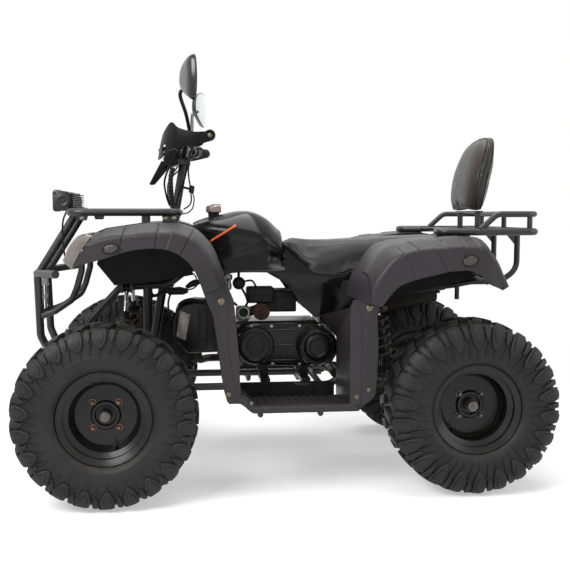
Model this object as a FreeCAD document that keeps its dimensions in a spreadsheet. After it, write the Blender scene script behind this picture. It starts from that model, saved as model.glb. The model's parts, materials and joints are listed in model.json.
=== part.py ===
"""A utility quad bike on its wheels. Millimetres, +Z up, front towards -X, rider's left towards -Y."""

import FreeCAD, Part
import Mesh
import Sketcher
import os
from math import atan2, cos, degrees, hypot, pi, radians, sin, tan

V = FreeCAD.Vector
LEFT, RIGHT = -1, 1
SIDES = {"left": LEFT, "right": RIGHT}

# Driving dimensions: name, millimetres or degrees, what it is
SIZES = [
    ("wheelbase", 1148, "front to rear axle"),
    ("front_radius", 282, "front tyre to its lug tips"),
    ("rear_radius", 278, "rear tyre to its lug tips"),
    ("front_track", 888, "between the front tyres' middles"),
    ("rear_track", 765, "between the rear tyres' middles"),
    ("front_tyre_width", 176, "over the sidewalls"),
    ("rear_tyre_width", 236, "over the sidewalls"),
    ("lug_height", 13, "tread lug above the carcass"),
    ("lug_pitches", 14, "lugs round each half of a tread"),
    ("flange_radius", 142.5, "rim flange"),
    ("flange_wall", 4, "rim wall thickness"),
    ("bead_radius", 127, "ten inch bead seat"),
    ("well_radius", 112, "drop centre of the rim, outside"),
    ("front_flange_half", 64, "tyre middle to the front rim's outer face"),
    ("rear_flange_half", 97, "tyre middle to the rear rim's outer face"),
    ("front_disc_recess", 65, "front rim face to wheel disc"),
    ("rear_disc_recess", 82, "rear rim face to wheel disc"),
    ("disc_wall", 5, "wheel disc thickness"),
    ("disc_flat_radius", 93, "flat part of the wheel disc"),
    ("front_bolt_circle", 110, "front wheel nuts"),
    ("rear_bolt_circle", 100, "rear wheel nuts"),
    ("nut_radius", 9, "wheel nut"),
    ("nut_height", 14, "wheel nut with its stud"),
    ("hub_nose_radius", 18, "hub sleeve outside the wheel disc"),
    ("hub_nose_length", 34, "hub sleeve outside the wheel disc"),
    ("drum_radius", 62, "front brake drum"),
    ("drum_depth", 26, "front brake drum"),
    ("spindle_radius", 10, "front stub axle"),
    ("running_gap", 0.05, "radial clearance of a turning fit"),
    ("seat_gap", 0.3, "between faces that rest by each other"),
    ("kingpin_offset", 59, "tyre middle to kingpin"),
    ("kingpin_radius", 6, "kingpin bolt"),
    ("sleeve_radius", 15, "kingpin sleeve at the arm's end"),
    ("sleeve_height", 70, "kingpin sleeve at the arm's end"),
    ("clevis_wall", 10, "knuckle plates above and below the sleeve"),
    ("steer_arm_reach", 65, "kingpin to tie rod pin, forwards"),
    ("steer_arm_spread", 14, "tie rod pin, sideways"),
    ("steer_pin_radius", 5, "tie rod pins"),
    ("rod_radius", 7, "tie rod"),
    ("rod_eye_radius", 10, "tie rod end"),
    ("rod_eye_height", 12, "tie rod end"),
    ("column_radius", 15, "steering column"),
    ("column_tilt", 10, "degrees back from upright"),
    ("column_foot_height", 335, "lower end of the column"),
    ("bar_over_rack", 178, "front carrier's tube to the bar clamp"),
    ("column_foot_back", 108, "front axle to column foot"),
    ("tube_radius", 12.5, "main frame tube"),
    ("rail_height", 299, "lower frame rails"),
    ("rail_spread", 130, "frame middle to lower rail"),
    ("box_half", 80, "frame middle to the front uprights"),
    ("box_front", 88, "front axle to the foremost uprights"),
    ("box_top", 640, "top of the front uprights"),
    ("arm_tube_radius", 11, "front suspension arm"),
    ("arm_bush_radius", 13, "front suspension arm pivots"),
    ("loose_gap", 0.9, "outer tie rod eye, radial room for the linkage's small drift"),
    ("axle_radius", 16, "rear axle shaft"),
    ("carrier_radius", 34, "rear axle bearing housing"),
    ("carrier_half", 50, "rear axle bearing housing"),
    ("rack_tube_radius", 12, "carriers"),
    ("rack_bar_radius", 7, "carrier cross bars"),
    ("front_rack_height", 894, "front carrier, tube middle"),
    ("front_rack_half", 300, "front carrier, middle to side tube"),
    ("front_rack_length", 340, "front carrier"),
    ("rear_rack_height", 830, "rear carrier platform, tube middle"),
    ("rear_rail_height", 888, "rear carrier upper rail"),
    ("rear_rack_half", 310, "rear carrier, middle to side tube"),
    ("panel_wall", 4, "moulded body panels"),
    ("bar_radius", 11, "handlebar tube"),
    ("bar_half", 400, "handlebar, middle to end"),
    ("grip_radius", 17, "rubber grips"),
    ("grip_length", 120, "rubber grips"),
]

doc = FreeCAD.newDocument("quad_bike")
sheet = doc.addObject("Spreadsheet::Sheet", "Sizes")
for row, (alias, value, note) in enumerate(SIZES, 1):
    sheet.set(f"A{row}", alias)
    sheet.set(f"B{row}", str(value))
    sheet.set(f"C{row}", note)
    sheet.setAlias(f"B{row}", alias)
doc.recompute()


class Cell:
    """A length with the expression that binds it to the sheet."""

    def __init__(self, value, text):
        self.value, self.text = value, text

    def __add__(self, other):
        return Cell(self.value + worth(other), f"({self.text} + {words(other)})")

    def __radd__(self, other):
        return self + other

    def __sub__(self, other):
        return Cell(self.value - worth(other), f"({self.text} - {words(other)})")

    def __rsub__(self, other):
        return -self + other

    def __mul__(self, other):
        return Cell(self.value * worth(other), f"({self.text} * {words(other)})")

    def __rmul__(self, other):
        return self * other

    def __truediv__(self, other):
        return Cell(self.value / worth(other), f"({self.text} / {words(other)})")

    def __neg__(self):
        return self * -1


def worth(item):
    return item.value if isinstance(item, Cell) else float(item)


def words(item):
    return item.text if isinstance(item, Cell) else f"({float(item)})"


class Namespace:
    pass


# S holds the sheet's values as numbers, E holds them as bound expressions
S, E = Namespace(), Namespace()
for alias, _, _ in SIZES:
    setattr(S, alias, float(sheet.get(alias)))
    setattr(E, alias, Cell(float(sheet.get(alias)), f"Sizes.{alias}"))

E.front_x = (E.front_radius - E.rear_radius - E.wheelbase) / 2
E.rear_x = (E.front_radius - E.rear_radius + E.wheelbase) / 2
E.kingpin_y = E.front_track / 2 - E.kingpin_offset
FRONT_X, REAR_X = E.front_x.value, E.rear_x.value
KINGPIN_Y = E.kingpin_y.value
nodes = {}


def bind(thing, **bindings):
    """Sets properties from cells; a name with three parts such as Placement_Base_x is a path."""
    for name, cell in bindings.items():
        path = "." + name.replace("_", ".") if name.startswith("Placement") else name
        thing.setExpression(path, words(cell))


def keep(label, shape):
    """A sub-part whose shape is worked out here from the sheet's values."""
    piece = doc.addObject("Part::Feature", label)
    piece.Label = label
    piece.Shape = shape
    piece.Placement = FreeCAD.Placement()
    nodes[label] = piece
    return piece


def name_node(label, thing):
    thing.Label = label
    nodes[label] = thing
    return thing


def polygon_sketch(body, role, points):
    """A closed outline whose corners are bound to the sheet."""
    plane = next(p for p in body.Origin.OriginFeatures if p.Role == role)
    sketch = body.newObject("Sketcher::SketchObject", body.Name + "_outline")
    sketch.AttachmentSupport = [(plane, "")]
    sketch.MapMode = "FlatFace"
    spots = [V(worth(x), worth(y), 0) for x, y in points]
    count = len(points)
    for i in range(count):
        sketch.addGeometry(Part.LineSegment(spots[i], spots[(i + 1) % count]))
    for i in range(count):
        sketch.addConstraint(Sketcher.Constraint("Coincident", i, 2, (i + 1) % count, 1))
    for i, point in enumerate(points):
        for kind, cell, axis in (("DistanceX", point[0], -2), ("DistanceY", point[1], -1)):
            if worth(cell) == 0:
                sketch.addConstraint(Sketcher.Constraint("PointOnObject", i, 1, axis))
                continue
            index = sketch.addConstraint(Sketcher.Constraint(kind, -1, 1, i, 1, worth(cell)))
            if isinstance(cell, Cell):
                sketch.setExpression(f"Constraints[{index}]", cell.text)
    return sketch


def turned(label, points, at=(0, 0, 0), turn=0.0):
    """A body turned about its own Y axis; outline corners are (radius, place along Y)."""
    body = doc.addObject("PartDesign::Body", label)
    sketch = polygon_sketch(body, "XY_Plane", points)
    feature = body.newObject("PartDesign::Revolution", label + "_turned")
    feature.Profile = sketch
    feature.ReferenceAxis = (sketch, ["V_Axis"])
    feature.Angle = 360
    body.Placement = FreeCAD.Placement(V(*[worth(c) for c in at]), FreeCAD.Rotation(V(0, 0, 1), turn))
    bind(body, Placement_Base_x=at[0], Placement_Base_y=at[1], Placement_Base_z=at[2])
    return body


def cylinder(name, radius, height, at, direction=V(0, 0, 1)):
    rod = doc.addObject("Part::Cylinder", name)
    rod.Placement = FreeCAD.Placement(
        V(*[worth(c) for c in at]), FreeCAD.Rotation(V(0, 0, 1), direction)
    )
    bind(rod, Radius=radius, Height=height)
    bind(rod, Placement_Base_x=at[0], Placement_Base_y=at[1], Placement_Base_z=at[2])
    return rod


def fused(label, *things):
    union = doc.addObject("Part::MultiFuse", label)
    union.Shapes = list(things)
    return union


def rod(start, end, radius, end_radius=None):
    """A round bar between two points, tapered where end_radius differs."""
    start, end = V(*start), V(*end)
    axis = end - start
    if end_radius is None:
        return Part.makeCylinder(radius, axis.Length, start, axis)
    return Part.makeCone(radius, end_radius, axis.Length, start, axis)


def block(low, high):
    low, high = V(*low), V(*high)
    return Part.makeBox(high.x - low.x, high.y - low.y, high.z - low.z, low)


def route(points, bend):
    """Straight runs joined by tangent arcs of radius bend, or less where a run is short."""
    points = [V(*p) for p in points]
    edges, here = [], points[0]
    for before, corner, after in zip(points, points[1:], points[2:]):
        back, ahead = before - corner, after - corner
        half = back.getAngle(ahead) / 2
        if half > radians(89.5):
            continue
        reach = min(bend / tan(half), 0.45 * back.Length, 0.45 * ahead.Length)
        back.normalize()
        ahead.normalize()
        start, end = corner + back * reach, corner + ahead * reach
        middle = (back + ahead).normalize()
        radius = reach * tan(half)
        top = corner + middle * (radius / sin(half) - radius)
        edges.append(Part.makeLine(here, start))
        edges.append(Part.Arc(start, top, end).toShape())
        here = end
    edges.append(Part.makeLine(here, points[-1]))
    return Part.Wire(edges)


def tube(points, radius, bend=45.0):
    """A bent round tube along a route."""
    path = route(points, bend)
    first = path.Edges[0]
    start = first.valueAt(first.FirstParameter)
    ahead = first.tangentAt(first.FirstParameter)
    ring = Part.Wire([Part.makeCircle(radius, start, ahead)])
    return path.makePipeShell([ring], True, False)


def mirrored(shape):
    return shape.mirror(V(0, 0, 0), V(0, 1, 0))


def both(shape):
    return [shape, mirrored(shape)]


def union(shapes):
    shapes = list(shapes)
    whole = shapes[0].multiFuse(shapes[1:])
    if whole.isNull() or not whole.Solids:
        whole = shapes[0]
        for shape in shapes[1:]:
            whole = whole.fuse(shape)
    return whole.removeSplitter()


def loft(sections):
    """A solid through closed sections with as many corners each, flat between them."""
    wires = [Part.makePolygon([V(*p) for p in s] + [V(*s[0])]) for s in sections]
    return Part.makeLoft(wires, True, True)


def slab(outline, low, high):
    """An outline in X and Z, made solid from one Y to another."""
    face = Part.Face(Part.makePolygon([V(x, low, z) for x, z in outline + outline[:1]]))
    return face.extrude(V(0, high - low, 0))


# Wheels
# Tread stations from the middle to the shoulder: share of half width, drop from the tip
# circle, for the lug tops and for the carcass between the lugs
LUG_TOPS = [(0.03, 0.0), (0.42, 1.0), (0.78, 9.0), (1.0, 44.0)]
LUG_ROOTS = [(0.03, 0.0), (0.42, 1.0), (0.74, 10.0), (0.92, 46.0)]
# Lug start and end as shares of a pitch at each station; the middle one is a half pitch
LUG_SPANS = [(0.0, 0.5), (0.18, 0.66), (0.30, 0.80), (0.34, 0.84)]


def tyre(radius, width, flange_half, at):
    """A ring with lugs in two staggered halves, closed down to its beads."""
    half = width / 2
    pitches = int(S.lug_pitches)
    step = 2 * pi / pitches
    spots, facets = [], []
    middle = V(*[worth(c) for c in at])

    def spot(angle, r, a):
        spots.append(middle + V(r * cos(angle), a, r * sin(angle)))
        return len(spots) - 1

    def quad(a, b, c, d, flip):
        faces = [(a, b, c), (a, c, d)]
        facets.extend(f[::-1] if flip else f for f in faces)

    # Below the shoulder: sidewall, rim edge, bead
    wall = [
        (0.95 * half, 0.72 * radius),
        (0.84 * half, 0.58 * radius),
        (flange_half - 2, S.flange_radius + 1),
        (flange_half - S.flange_wall - S.seat_gap, S.flange_radius + 1),
        (flange_half - 2 * S.flange_wall, (S.bead_radius + S.seat_gap) / cos(step / 4)),
    ]
    rows = {}
    for side in (LEFT, RIGHT):
        shift = 0.0 if side == LEFT else step / 2
        flip = side == RIGHT
        tops, roots, walls = [], [], []
        for i in range(pitches):
            base = i * step + shift
            top, root = [], []
            for k, (share, drop) in enumerate(LUG_TOPS):
                angles = [base + step * s for s in LUG_SPANS[k]]
                top.append([spot(a, radius - drop, side * share * half) for a in angles])
                share, drop = LUG_ROOTS[k]
                low = radius - S.lug_height - drop
                root.append([spot(a, low, side * share * half) for a in angles])
            tops.append(top)
            roots.append(root)
            walls.append(
                [[spot(base + step * s, r, side * a) for s in LUG_SPANS[-1]] for a, r in wall]
            )
        for i in range(pitches):
            top, root, down = tops[i], roots[i], walls[i]
            ahead, down_ahead = roots[(i + 1) % pitches], walls[(i + 1) % pitches]
            for k in range(3):
                quad(top[k][0], top[k][1], top[k + 1][1], top[k + 1][0], flip)
                quad(root[k][0], top[k][0], top[k + 1][0], root[k + 1][0], flip)
                quad(top[k][1], root[k][1], root[k + 1][1], top[k + 1][1], flip)
                quad(root[k][1], ahead[k][0], ahead[k + 1][0], root[k + 1][1], flip)
            quad(root[0][0], root[0][1], top[0][1], top[0][0], flip)
            quad(top[3][0], top[3][1], root[3][1], root[3][0], flip)
            levels = [root[3]] + down
            levels_ahead = [ahead[3]] + down_ahead
            for k in range(len(levels) - 1):
                quad(levels[k][0], levels[k][1], levels[k + 1][1], levels[k + 1][0], flip)
                quad(levels[k][1], levels_ahead[k][0], levels_ahead[k + 1][0], levels[k + 1][1], flip)
        rows[side] = (roots, walls)
    for i in range(pitches):
        # The right half is set half a pitch on, so its corners meet the left half's
        left, right = rows[LEFT][0], rows[RIGHT][0]
        before = (i - 1) % pitches
        quad(right[before][0][1], right[i][0][0], left[i][0][1], left[i][0][0], False)
        quad(right[i][0][0], right[i][0][1], left[(i + 1) % pitches][0][0], left[i][0][1], False)
        left, right = rows[LEFT][1], rows[RIGHT][1]
        ring = [left[i][-1][0], left[i][-1][1], left[(i + 1) % pitches][-1][0]]
        far = [right[before][-1][1], right[i][-1][0], right[i][-1][1]]
        quad(ring[0], ring[1], far[1], far[0], False)
        quad(ring[1], ring[2], far[2], far[1], False)
    mesh = Mesh.Mesh([[spots[i] for i in f] for f in facets])
    shape = Part.Shape()
    shape.makeShapeFromMesh(mesh.Topology, 0.01)
    return Part.makeSolid(shape)


def rim_outline(flange_half, recess, hub):
    """Half section of a steel wheel with its hub; corners are (radius, place along Y, out is -)."""
    f, w, inner = E.flange_radius, E.flange_wall, E.bead_radius - E.flange_wall
    well, disc = E.well_radius, recess - flange_half
    return [
        (f, -flange_half), (f, w - flange_half),
        (E.bead_radius, 2 * w - flange_half), (E.bead_radius, 26 - flange_half),
        (well, 34 - flange_half), (well, flange_half - 34),
        (E.bead_radius, flange_half - 26), (E.bead_radius, flange_half - 2 * w),
        (f, flange_half - w), (f, flange_half),
        (f - 6, flange_half), (inner, flange_half - 2 * w), (inner, flange_half - 24),
        (well - w, flange_half - 33), (well - w, disc + E.disc_wall - 14),
        (E.disc_flat_radius, disc + E.disc_wall),
        *hub,
        (E.disc_flat_radius, disc), (well - w, disc - 16),
        (well - w, 33 - flange_half), (inner, 24 - flange_half),
        (inner, 2 * w - flange_half), (f - 6, -flange_half),
    ]


def nut_ring(name, circle, face, at, outward):
    """Four nuts on their studs round the hub."""
    nuts = []
    for i in range(4):
        angle = radians(45 + 90 * i)
        nut = cylinder(
            f"{name}_nut_{i}", E.nut_radius, E.nut_height,
            (at[0] + circle * (cos(angle) / 2), at[1] + outward * face, at[2] + circle * (sin(angle) / 2)),
            V(0, outward, 0),
        )
        nuts.append(nut)
    return nuts


def front_wheel(side, word):
    at = (E.front_x, side * E.front_track / 2, E.front_radius)
    disc = E.front_disc_recess - E.front_flange_half
    nose = disc - E.hub_nose_length
    bore = E.spindle_radius + E.running_gap
    hub = [
        (E.drum_radius, disc + E.disc_wall), (E.drum_radius, disc + E.drum_depth),
        (bore, disc + E.drum_depth), (bore, nose), (E.hub_nose_radius, nose), (E.hub_nose_radius, disc),
    ]
    outline = rim_outline(E.front_flange_half, E.front_disc_recess, hub)
    body = turned(f"front_rim_{word}_body", outline, at, 0 if side == LEFT else 180)
    nuts = nut_ring(f"front_{word}", E.front_bolt_circle, -disc - 1, at, side)
    name_node(f"front_rim_{word}", fused(f"front_rim_{word}", body, *nuts))
    keep(f"front_tyre_{word}", tyre(S.front_radius, S.front_tyre_width, S.front_flange_half, at))


def rear_wheel(side, word):
    at = (E.rear_x, side * E.rear_track / 2, E.rear_radius)
    disc = E.rear_disc_recess - E.rear_flange_half
    bore = E.axle_radius
    hub = [
        (42, disc + E.disc_wall), (42, disc + 14), (30, disc + 20), (30, disc + 62),
        (bore, disc + 62), (bore, disc - 26), (22, disc - 26), (22, disc),
    ]
    outline = rim_outline(E.rear_flange_half, E.rear_disc_recess, hub)
    body = turned(f"rear_rim_{word}_body", outline, at, 0 if side == LEFT else 180)
    nuts = nut_ring(f"rear_{word}", E.rear_bolt_circle, -disc - 1, at, side)
    keep(f"rear_tyre_{word}", tyre(S.rear_radius, S.rear_tyre_width, S.rear_flange_half, at))
    return fused(f"rear_rim_{word}", body, *nuts)


for word, side in SIDES.items():
    front_wheel(side, word)
rear_rims = doc.addObject("Part::Compound", "rear_rims")
rear_rims.Links = [rear_wheel(side, word) for word, side in SIDES.items()]
name_node("rear_rims", rear_rims)

# Steering
TILT = radians(S.column_tilt)
BAR_CLAMP_Z = S.front_rack_height + S.bar_over_rack
UP_COLUMN = V(sin(TILT), 0, cos(TILT))
FOOT_X = FRONT_X + S.column_foot_back
FOOT = V(FOOT_X, 0, S.column_foot_height)
TOP = FOOT + UP_COLUMN * ((BAR_CLAMP_Z - S.column_foot_height) / cos(TILT))
CLEVIS_TOP = S.front_radius + S.sleeve_height / 2 + S.seat_gap + S.clevis_wall
PIN_DROP = 3 + S.rod_eye_height / 2
ARM_REACH = S.steer_arm_reach * cos(TILT)


def on_column(x, y, z):
    """A point given square to the column, from its foot."""
    return FOOT + V(x * cos(TILT) + z * sin(TILT), y, z * cos(TILT) - x * sin(TILT))


ROD_Z = on_column(-S.steer_arm_reach, 0, -PIN_DROP).z


def column_point(height):
    return FOOT + UP_COLUMN * ((height - S.column_foot_height) / cos(TILT))


def steering_column():
    """Tube with the arm at its foot that moves both tie rods, and a bar clamp on top."""
    shaft = rod(on_column(0, 0, 0), TOP, S.column_radius)
    reach, half = -S.steer_arm_reach, S.steer_arm_spread + S.rod_eye_radius
    plate = [on_column(*p)
             for p in ((reach - 12, -half, 0), (reach - 12, half, 0), (16, 20, 0), (16, -20, 0))]
    arm = Part.Face(Part.makePolygon(plate + plate[:1])).extrude(UP_COLUMN * 8)
    pins = [
        rod(on_column(reach, y, -PIN_DROP - S.rod_eye_height / 2 - 3), on_column(reach, y, 4),
            S.steer_pin_radius)
        for y in (-S.steer_arm_spread, S.steer_arm_spread)
    ]
    clamp = block((TOP.x - 22, -55, TOP.z - 14), (TOP.x + 22, 55, TOP.z + 4))
    keep("steering_column", union([shaft, arm, clamp] + pins))


BAR_Z = BAR_CLAMP_Z + 4 + S.seat_gap + S.bar_radius
BAR_X = TOP.x + 4
GRIP_X, GRIP_Z = BAR_X + 78, BAR_CLAMP_Z + 54


def bar_points(side):
    return [
        (BAR_X, 0, BAR_Z),
        (BAR_X, side * 85, BAR_Z),
        (BAR_X + 8, side * 185, GRIP_Z - 4),
        (GRIP_X, side * S.bar_half, GRIP_Z),
    ]


def handlebar():
    left, right = bar_points(LEFT), bar_points(RIGHT)
    bar = tube(left[::-1] + right[1:], S.bar_radius, 60)
    caps = [
        block((BAR_X - 20, y - 12, BAR_Z - S.bar_radius), (BAR_X + 20, y + 12, BAR_Z + S.bar_radius + 8))
        for y in (-34, 34)
    ]
    keep("handlebar", union([bar] + caps))


def grip_axis(side):
    start, end = V(*bar_points(side)[2]), V(*bar_points(side)[3])
    return start, end, (end - start).normalize()


def grips():
    """Rubber grips, slid on the bar ends."""
    made = []
    for side in SIDES.values():
        _, end, ahead = grip_axis(side)
        inner = end - ahead * S.grip_length
        sleeve = rod(inner, end + ahead * 4, S.grip_radius)
        collar = rod(inner, inner + ahead * 8, S.grip_radius + 6)
        bore = rod(inner - ahead * 5, end, S.bar_radius)
        made.append(sleeve.fuse(collar).cut(bore))
    keep("grips", Part.makeCompound(made))


def controls():
    """Switch housings with brake levers, clamped on the bar beside the grips."""
    made = []
    for side in SIDES.values():
        _, end, ahead = grip_axis(side)
        inner = end - ahead * (S.grip_length + 1)
        housing = rod(inner - ahead * 42, inner, 24)
        pivot = inner - ahead * 20 + V(-34, 0, -6)
        perch = rod(inner - ahead * 20, pivot, 9)
        blade = tube(
            [tuple(pivot), tuple(pivot + V(-4, side * 40, -8)),
             tuple(pivot + V(30, side * 126, -16))], 6, 60
        )
        knob = rod(pivot + V(-2, 0, -12), pivot + V(-2, 0, 12), 11)
        bore = rod(inner - ahead * 80, end, S.bar_radius)
        made.append(union([housing, perch, blade, knob]).cut(bore))
    keep("controls", Part.makeCompound(made))


GUARD_WALL = 4.0


def hand_guards():
    """Moulded hand guards from the bar ends round the front of the levers."""
    made = []
    for side in SIDES.values():
        _, end, ahead = grip_axis(side)
        tip = end + ahead * 4 + V(0, side * (0.28 * S.grip_radius + S.seat_gap), 0)
        # Each upright through the guard: X of its foot and top, Y, low edge and high edge
        stations = [
            (tip.x + 6, tip.x + 6, tip.y, tip.z - 16, tip.z + 15),
            (tip.x - 46, tip.x - 48, tip.y + side * 2, tip.z - 28, tip.z + 11),
            (tip.x - 96, tip.x - 96, tip.y - side * 14, tip.z - 36, tip.z + 24),
            (tip.x - 128, tip.x - 118, tip.y - side * 44, tip.z - 40, tip.z + 43),
            (tip.x - 149, tip.x - 139, tip.y - side * 84, tip.z - 62, tip.z + 22),
            (tip.x - 162, tip.x - 150, tip.y - side * 140, tip.z - 66, tip.z + 4),
            (tip.x - 165, tip.x - 154, tip.y - side * 200, tip.z - 62, tip.z - 12),
        ]
        sections = []
        for i, (x, high_x, y, low, high) in enumerate(stations):
            before, after = stations[max(i - 1, 0)], stations[min(i + 1, len(stations) - 1)]
            along = V(after[0] - before[0], after[2] - before[2], 0).normalize()
            out = V(along.y, -along.x, 0) * (GUARD_WALL * side)
            sections.append([
                (x, y, low), (high_x, y, high), (high_x + out.x, y + out.y, high),
                (x + out.x, y + out.y, low),
            ])
        guard = loft(sections)
        x, _, y = stations[-1][:3]
        stay = rod((x - 2, y + side * 8, tip.z - 34), (BAR_X + 6, y + side * 6, GRIP_Z - 10), 5)
        made.append(guard.fuse(stay).cut(nodes["handlebar"].Shape))
    keep("hand_guards", Part.makeCompound(made))


def meter_cowl():
    """Instrument pod ahead of the clamp with the two fins below it."""
    x = TOP.x - 22 - S.seat_gap
    pod = loft([
        [(x, -70, BAR_Z - 30), (x, 70, BAR_Z - 30), (x, 60, BAR_Z + 26), (x, -60, BAR_Z + 26)],
        [(x - 46, -52, BAR_Z - 42), (x - 46, 52, BAR_Z - 42), (x - 46, 44, BAR_Z + 14),
         (x - 46, -44, BAR_Z + 14)],
    ])
    fins = [
        loft([
            [(x - 54, y - 3, BAR_Z - 16), (x - 54, y + 3, BAR_Z - 16), (x - 24, y + 3, BAR_Z - 30),
             (x - 24, y - 3, BAR_Z - 30)],
            [(x - 98, y - 2, BAR_Z - 98), (x - 98, y + 2, BAR_Z - 98), (x - 80, y + 2, BAR_Z - 96),
             (x - 80, y - 2, BAR_Z - 96)],
        ])
        for y in (-40, 40)
    ]
    keep("meter_cowl", union([pod] + fins))


MIRROR_Y = 330.0
MIRROR_TURN = radians(15)
# Rim seen from behind: places outwards from the inner edge, and heights from the elbow
MIRROR_RIM = [(0, 14), (0, 56), (28, 80), (70, 92), (112, 97), (138, 88), (150, 40), (146, -10),
              (128, -38), (92, -30), (44, -12)]


def mirrors():
    """Two mirrors on stems clamped to the bar, each set a little differently."""
    made = []
    for side, elbow_x, elbow_z in ((LEFT, -341, 1262), (RIGHT, -303, 1272)):
        _, end, ahead = grip_axis(side)
        foot = end - ahead * (S.grip_length + 58)
        base = rod(foot - ahead * 9, foot + ahead * 9, 19)
        base = base.cut(rod(foot - ahead * 30, foot + ahead * 30, S.bar_radius))
        elbow = V(elbow_x, side * (MIRROR_Y + 6), elbow_z)
        stem = tube([tuple(foot + V(0, 0, 14)), tuple(foot + V(-8, 0, 40)), tuple(elbow),
                     tuple(elbow + V(20, side * 24, 14))], 6.5, 20)
        outwards = V(sin(MIRROR_TURN), side * cos(MIRROR_TURN), 0)
        back = V(cos(MIRROR_TURN), -side * sin(MIRROR_TURN), 0)
        corner = elbow + V(14, side * 10, 0)
        rim = [tuple(corner + outwards * a + V(0, 0, b)) for a, b in MIRROR_RIM]
        dome = [tuple(corner - back * 24 + outwards * (75 + (a - 75) * 0.72) + V(0, 0,
            30 + (b - 30) * 0.72))
                for a, b in MIRROR_RIM]
        made.append(union([base, stem, loft([rim, dome])]))
    keep("mirrors", Part.makeCompound(made))


def knuckle(side, word):
    """Clevis over the arm's kingpin sleeve, with the stub axle and the arm for the tie rod."""
    y, z = side * KINGPIN_Y, S.front_radius
    half = S.sleeve_height / 2 + S.seat_gap
    spread = S.sleeve_radius + 2
    plates = [
        block((FRONT_X - 18, y - 18, low), (FRONT_X + 18, y + 18, low + S.clevis_wall))
        for low in (z + half, z - half - S.clevis_wall)
    ]
    out = side * spread
    web = block(
        (FRONT_X - 18, min(y + out, y + out + side * 8), z - half - S.clevis_wall),
        (FRONT_X + 18, max(y + out, y + out + side * 8), z + half + S.clevis_wall),
    )
    bridge = [
        block(
            (FRONT_X - 18, min(y + side * 5, y + out), low),
            (FRONT_X + 18, max(y + side * 5, y + out), low + S.clevis_wall),
        )
        for low in (z + half, z - half - S.clevis_wall)
    ]
    pin = rod((FRONT_X, y, z - half - 14), (FRONT_X, y, z + half + 14), S.kingpin_radius)
    disc_y = S.front_track / 2 + S.front_flange_half - S.front_disc_recess
    tip = disc_y + S.hub_nose_length - 6
    spindle = rod((FRONT_X, y + out, z), (FRONT_X, side * tip, z), S.spindle_radius)
    plate_out = side * (disc_y - S.drum_depth - 2)
    backing = rod((FRONT_X, y + out + side * 4, z), (FRONT_X, plate_out, z), S.drum_radius - 8)
    reach, spread_y = FRONT_X - ARM_REACH, y + side * S.steer_arm_spread
    arm_low = CLEVIS_TOP - S.clevis_wall
    corners = [
        V(FRONT_X, y - side * 9, arm_low), V(FRONT_X, y + side * 21, arm_low),
        V(reach - 8, spread_y + side * 8, arm_low), V(reach - 8, spread_y - side * 8, arm_low),
    ]
    arm = Part.Face(Part.makePolygon(corners + corners[:1])).extrude(V(0, 0, S.clevis_wall))
    ball = rod((reach, spread_y, arm_low), (reach, spread_y, ROD_Z + S.rod_eye_height / 2 + 3),
               S.steer_pin_radius)
    keep(f"knuckle_{word}", union(plates + bridge + [web, pin, spindle, backing, arm, ball]))


def tie_rod(side, word):
    """Rod between the column's arm and the knuckle's arm, with an eye at each end."""
    inner = on_column(-S.steer_arm_reach, side * S.steer_arm_spread, -PIN_DROP)
    outer = V(FRONT_X - ARM_REACH, side * (KINGPIN_Y + S.steer_arm_spread), ROD_Z)
    half = S.rod_eye_height / 2
    along, upright = UP_COLUMN * half, V(0, 0, half)
    eyes = [
        rod(inner - along, inner + along, S.rod_eye_radius),
        rod(outer - upright, outer + upright, S.rod_eye_radius)
    ]
    # The outer eye has room for the linkage's small drift
    tight = rod(inner - along * 2, inner + along * 2, S.steer_pin_radius + S.running_gap)
    loose = rod(outer - upright * 2, outer + upright * 2, S.steer_pin_radius + S.loose_gap)
    shank = rod(inner, outer, S.rod_radius - 2).cut(eyes[0]).cut(eyes[1])
    body = eyes[0].cut(tight).fuse(shank).fuse(eyes[1].cut(loose))
    keep(f"tie_rod_{word}", body)


steering_column()
handlebar()
grips()
controls()
hand_guards()
meter_cowl()
mirrors()
for word, side in SIDES.items():
    knuckle(side, word)
    tie_rod(side, word)

# Frame
R = S.tube_radius
BOX_FRONT_X = FRONT_X - S.box_front
PIVOT_X, PIVOT_Z = REAR_X - 386, 330.0
BROW_X, SPINE_Z, TAIL_Z = FRONT_X + 20, 705.0, 651.0
SEAT_RAIL = [(34, 94, 652), (120, 112, 640), (300, 118, 690), (560, 118, 742)]
SUPPORT_X = REAR_X + 255
SEAT_STATIONS = [
    # x, half width at the top edge, half width low, top z, low z
    (3.3, 56, 70, 806, 772),
    (40, 76, 100, 802, 738),
    (100, 96, 142, 795, 684),
    (170, 120, 156, 795, 677),
    (240, 138, 168, 798, 699),
    (300, 146, 170, 801, 726),
    (380, 148, 166, 806, 764),
    (560, 144, 160, 811, 770),
    (588, 120, 138, 796, 776),
]
ENGINE_FOOT_X = PIVOT_X - 110
SHOCK_FOOT = (FRONT_X + 34, 300.0, 316.0)
SHOCK_HEAD = (FRONT_X + 46, 150.0, 640.0)
REAR_SHOCK_FOOT = (REAR_X - 190, 0.0, 345.0)
REAR_SHOCK_HEAD = (REAR_X - 230, 0.0, 640.0)


def seat_low(x):
    """Height of the seat's underside at one place along the bike."""
    for (x0, _, _, _, z0), (x1, _, _, _, z1) in zip(SEAT_STATIONS, SEAT_STATIONS[1:]):
        if x0 <= x <= x1:
            return z0 + (z1 - z0) * (x - x0) / (x1 - x0)


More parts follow.
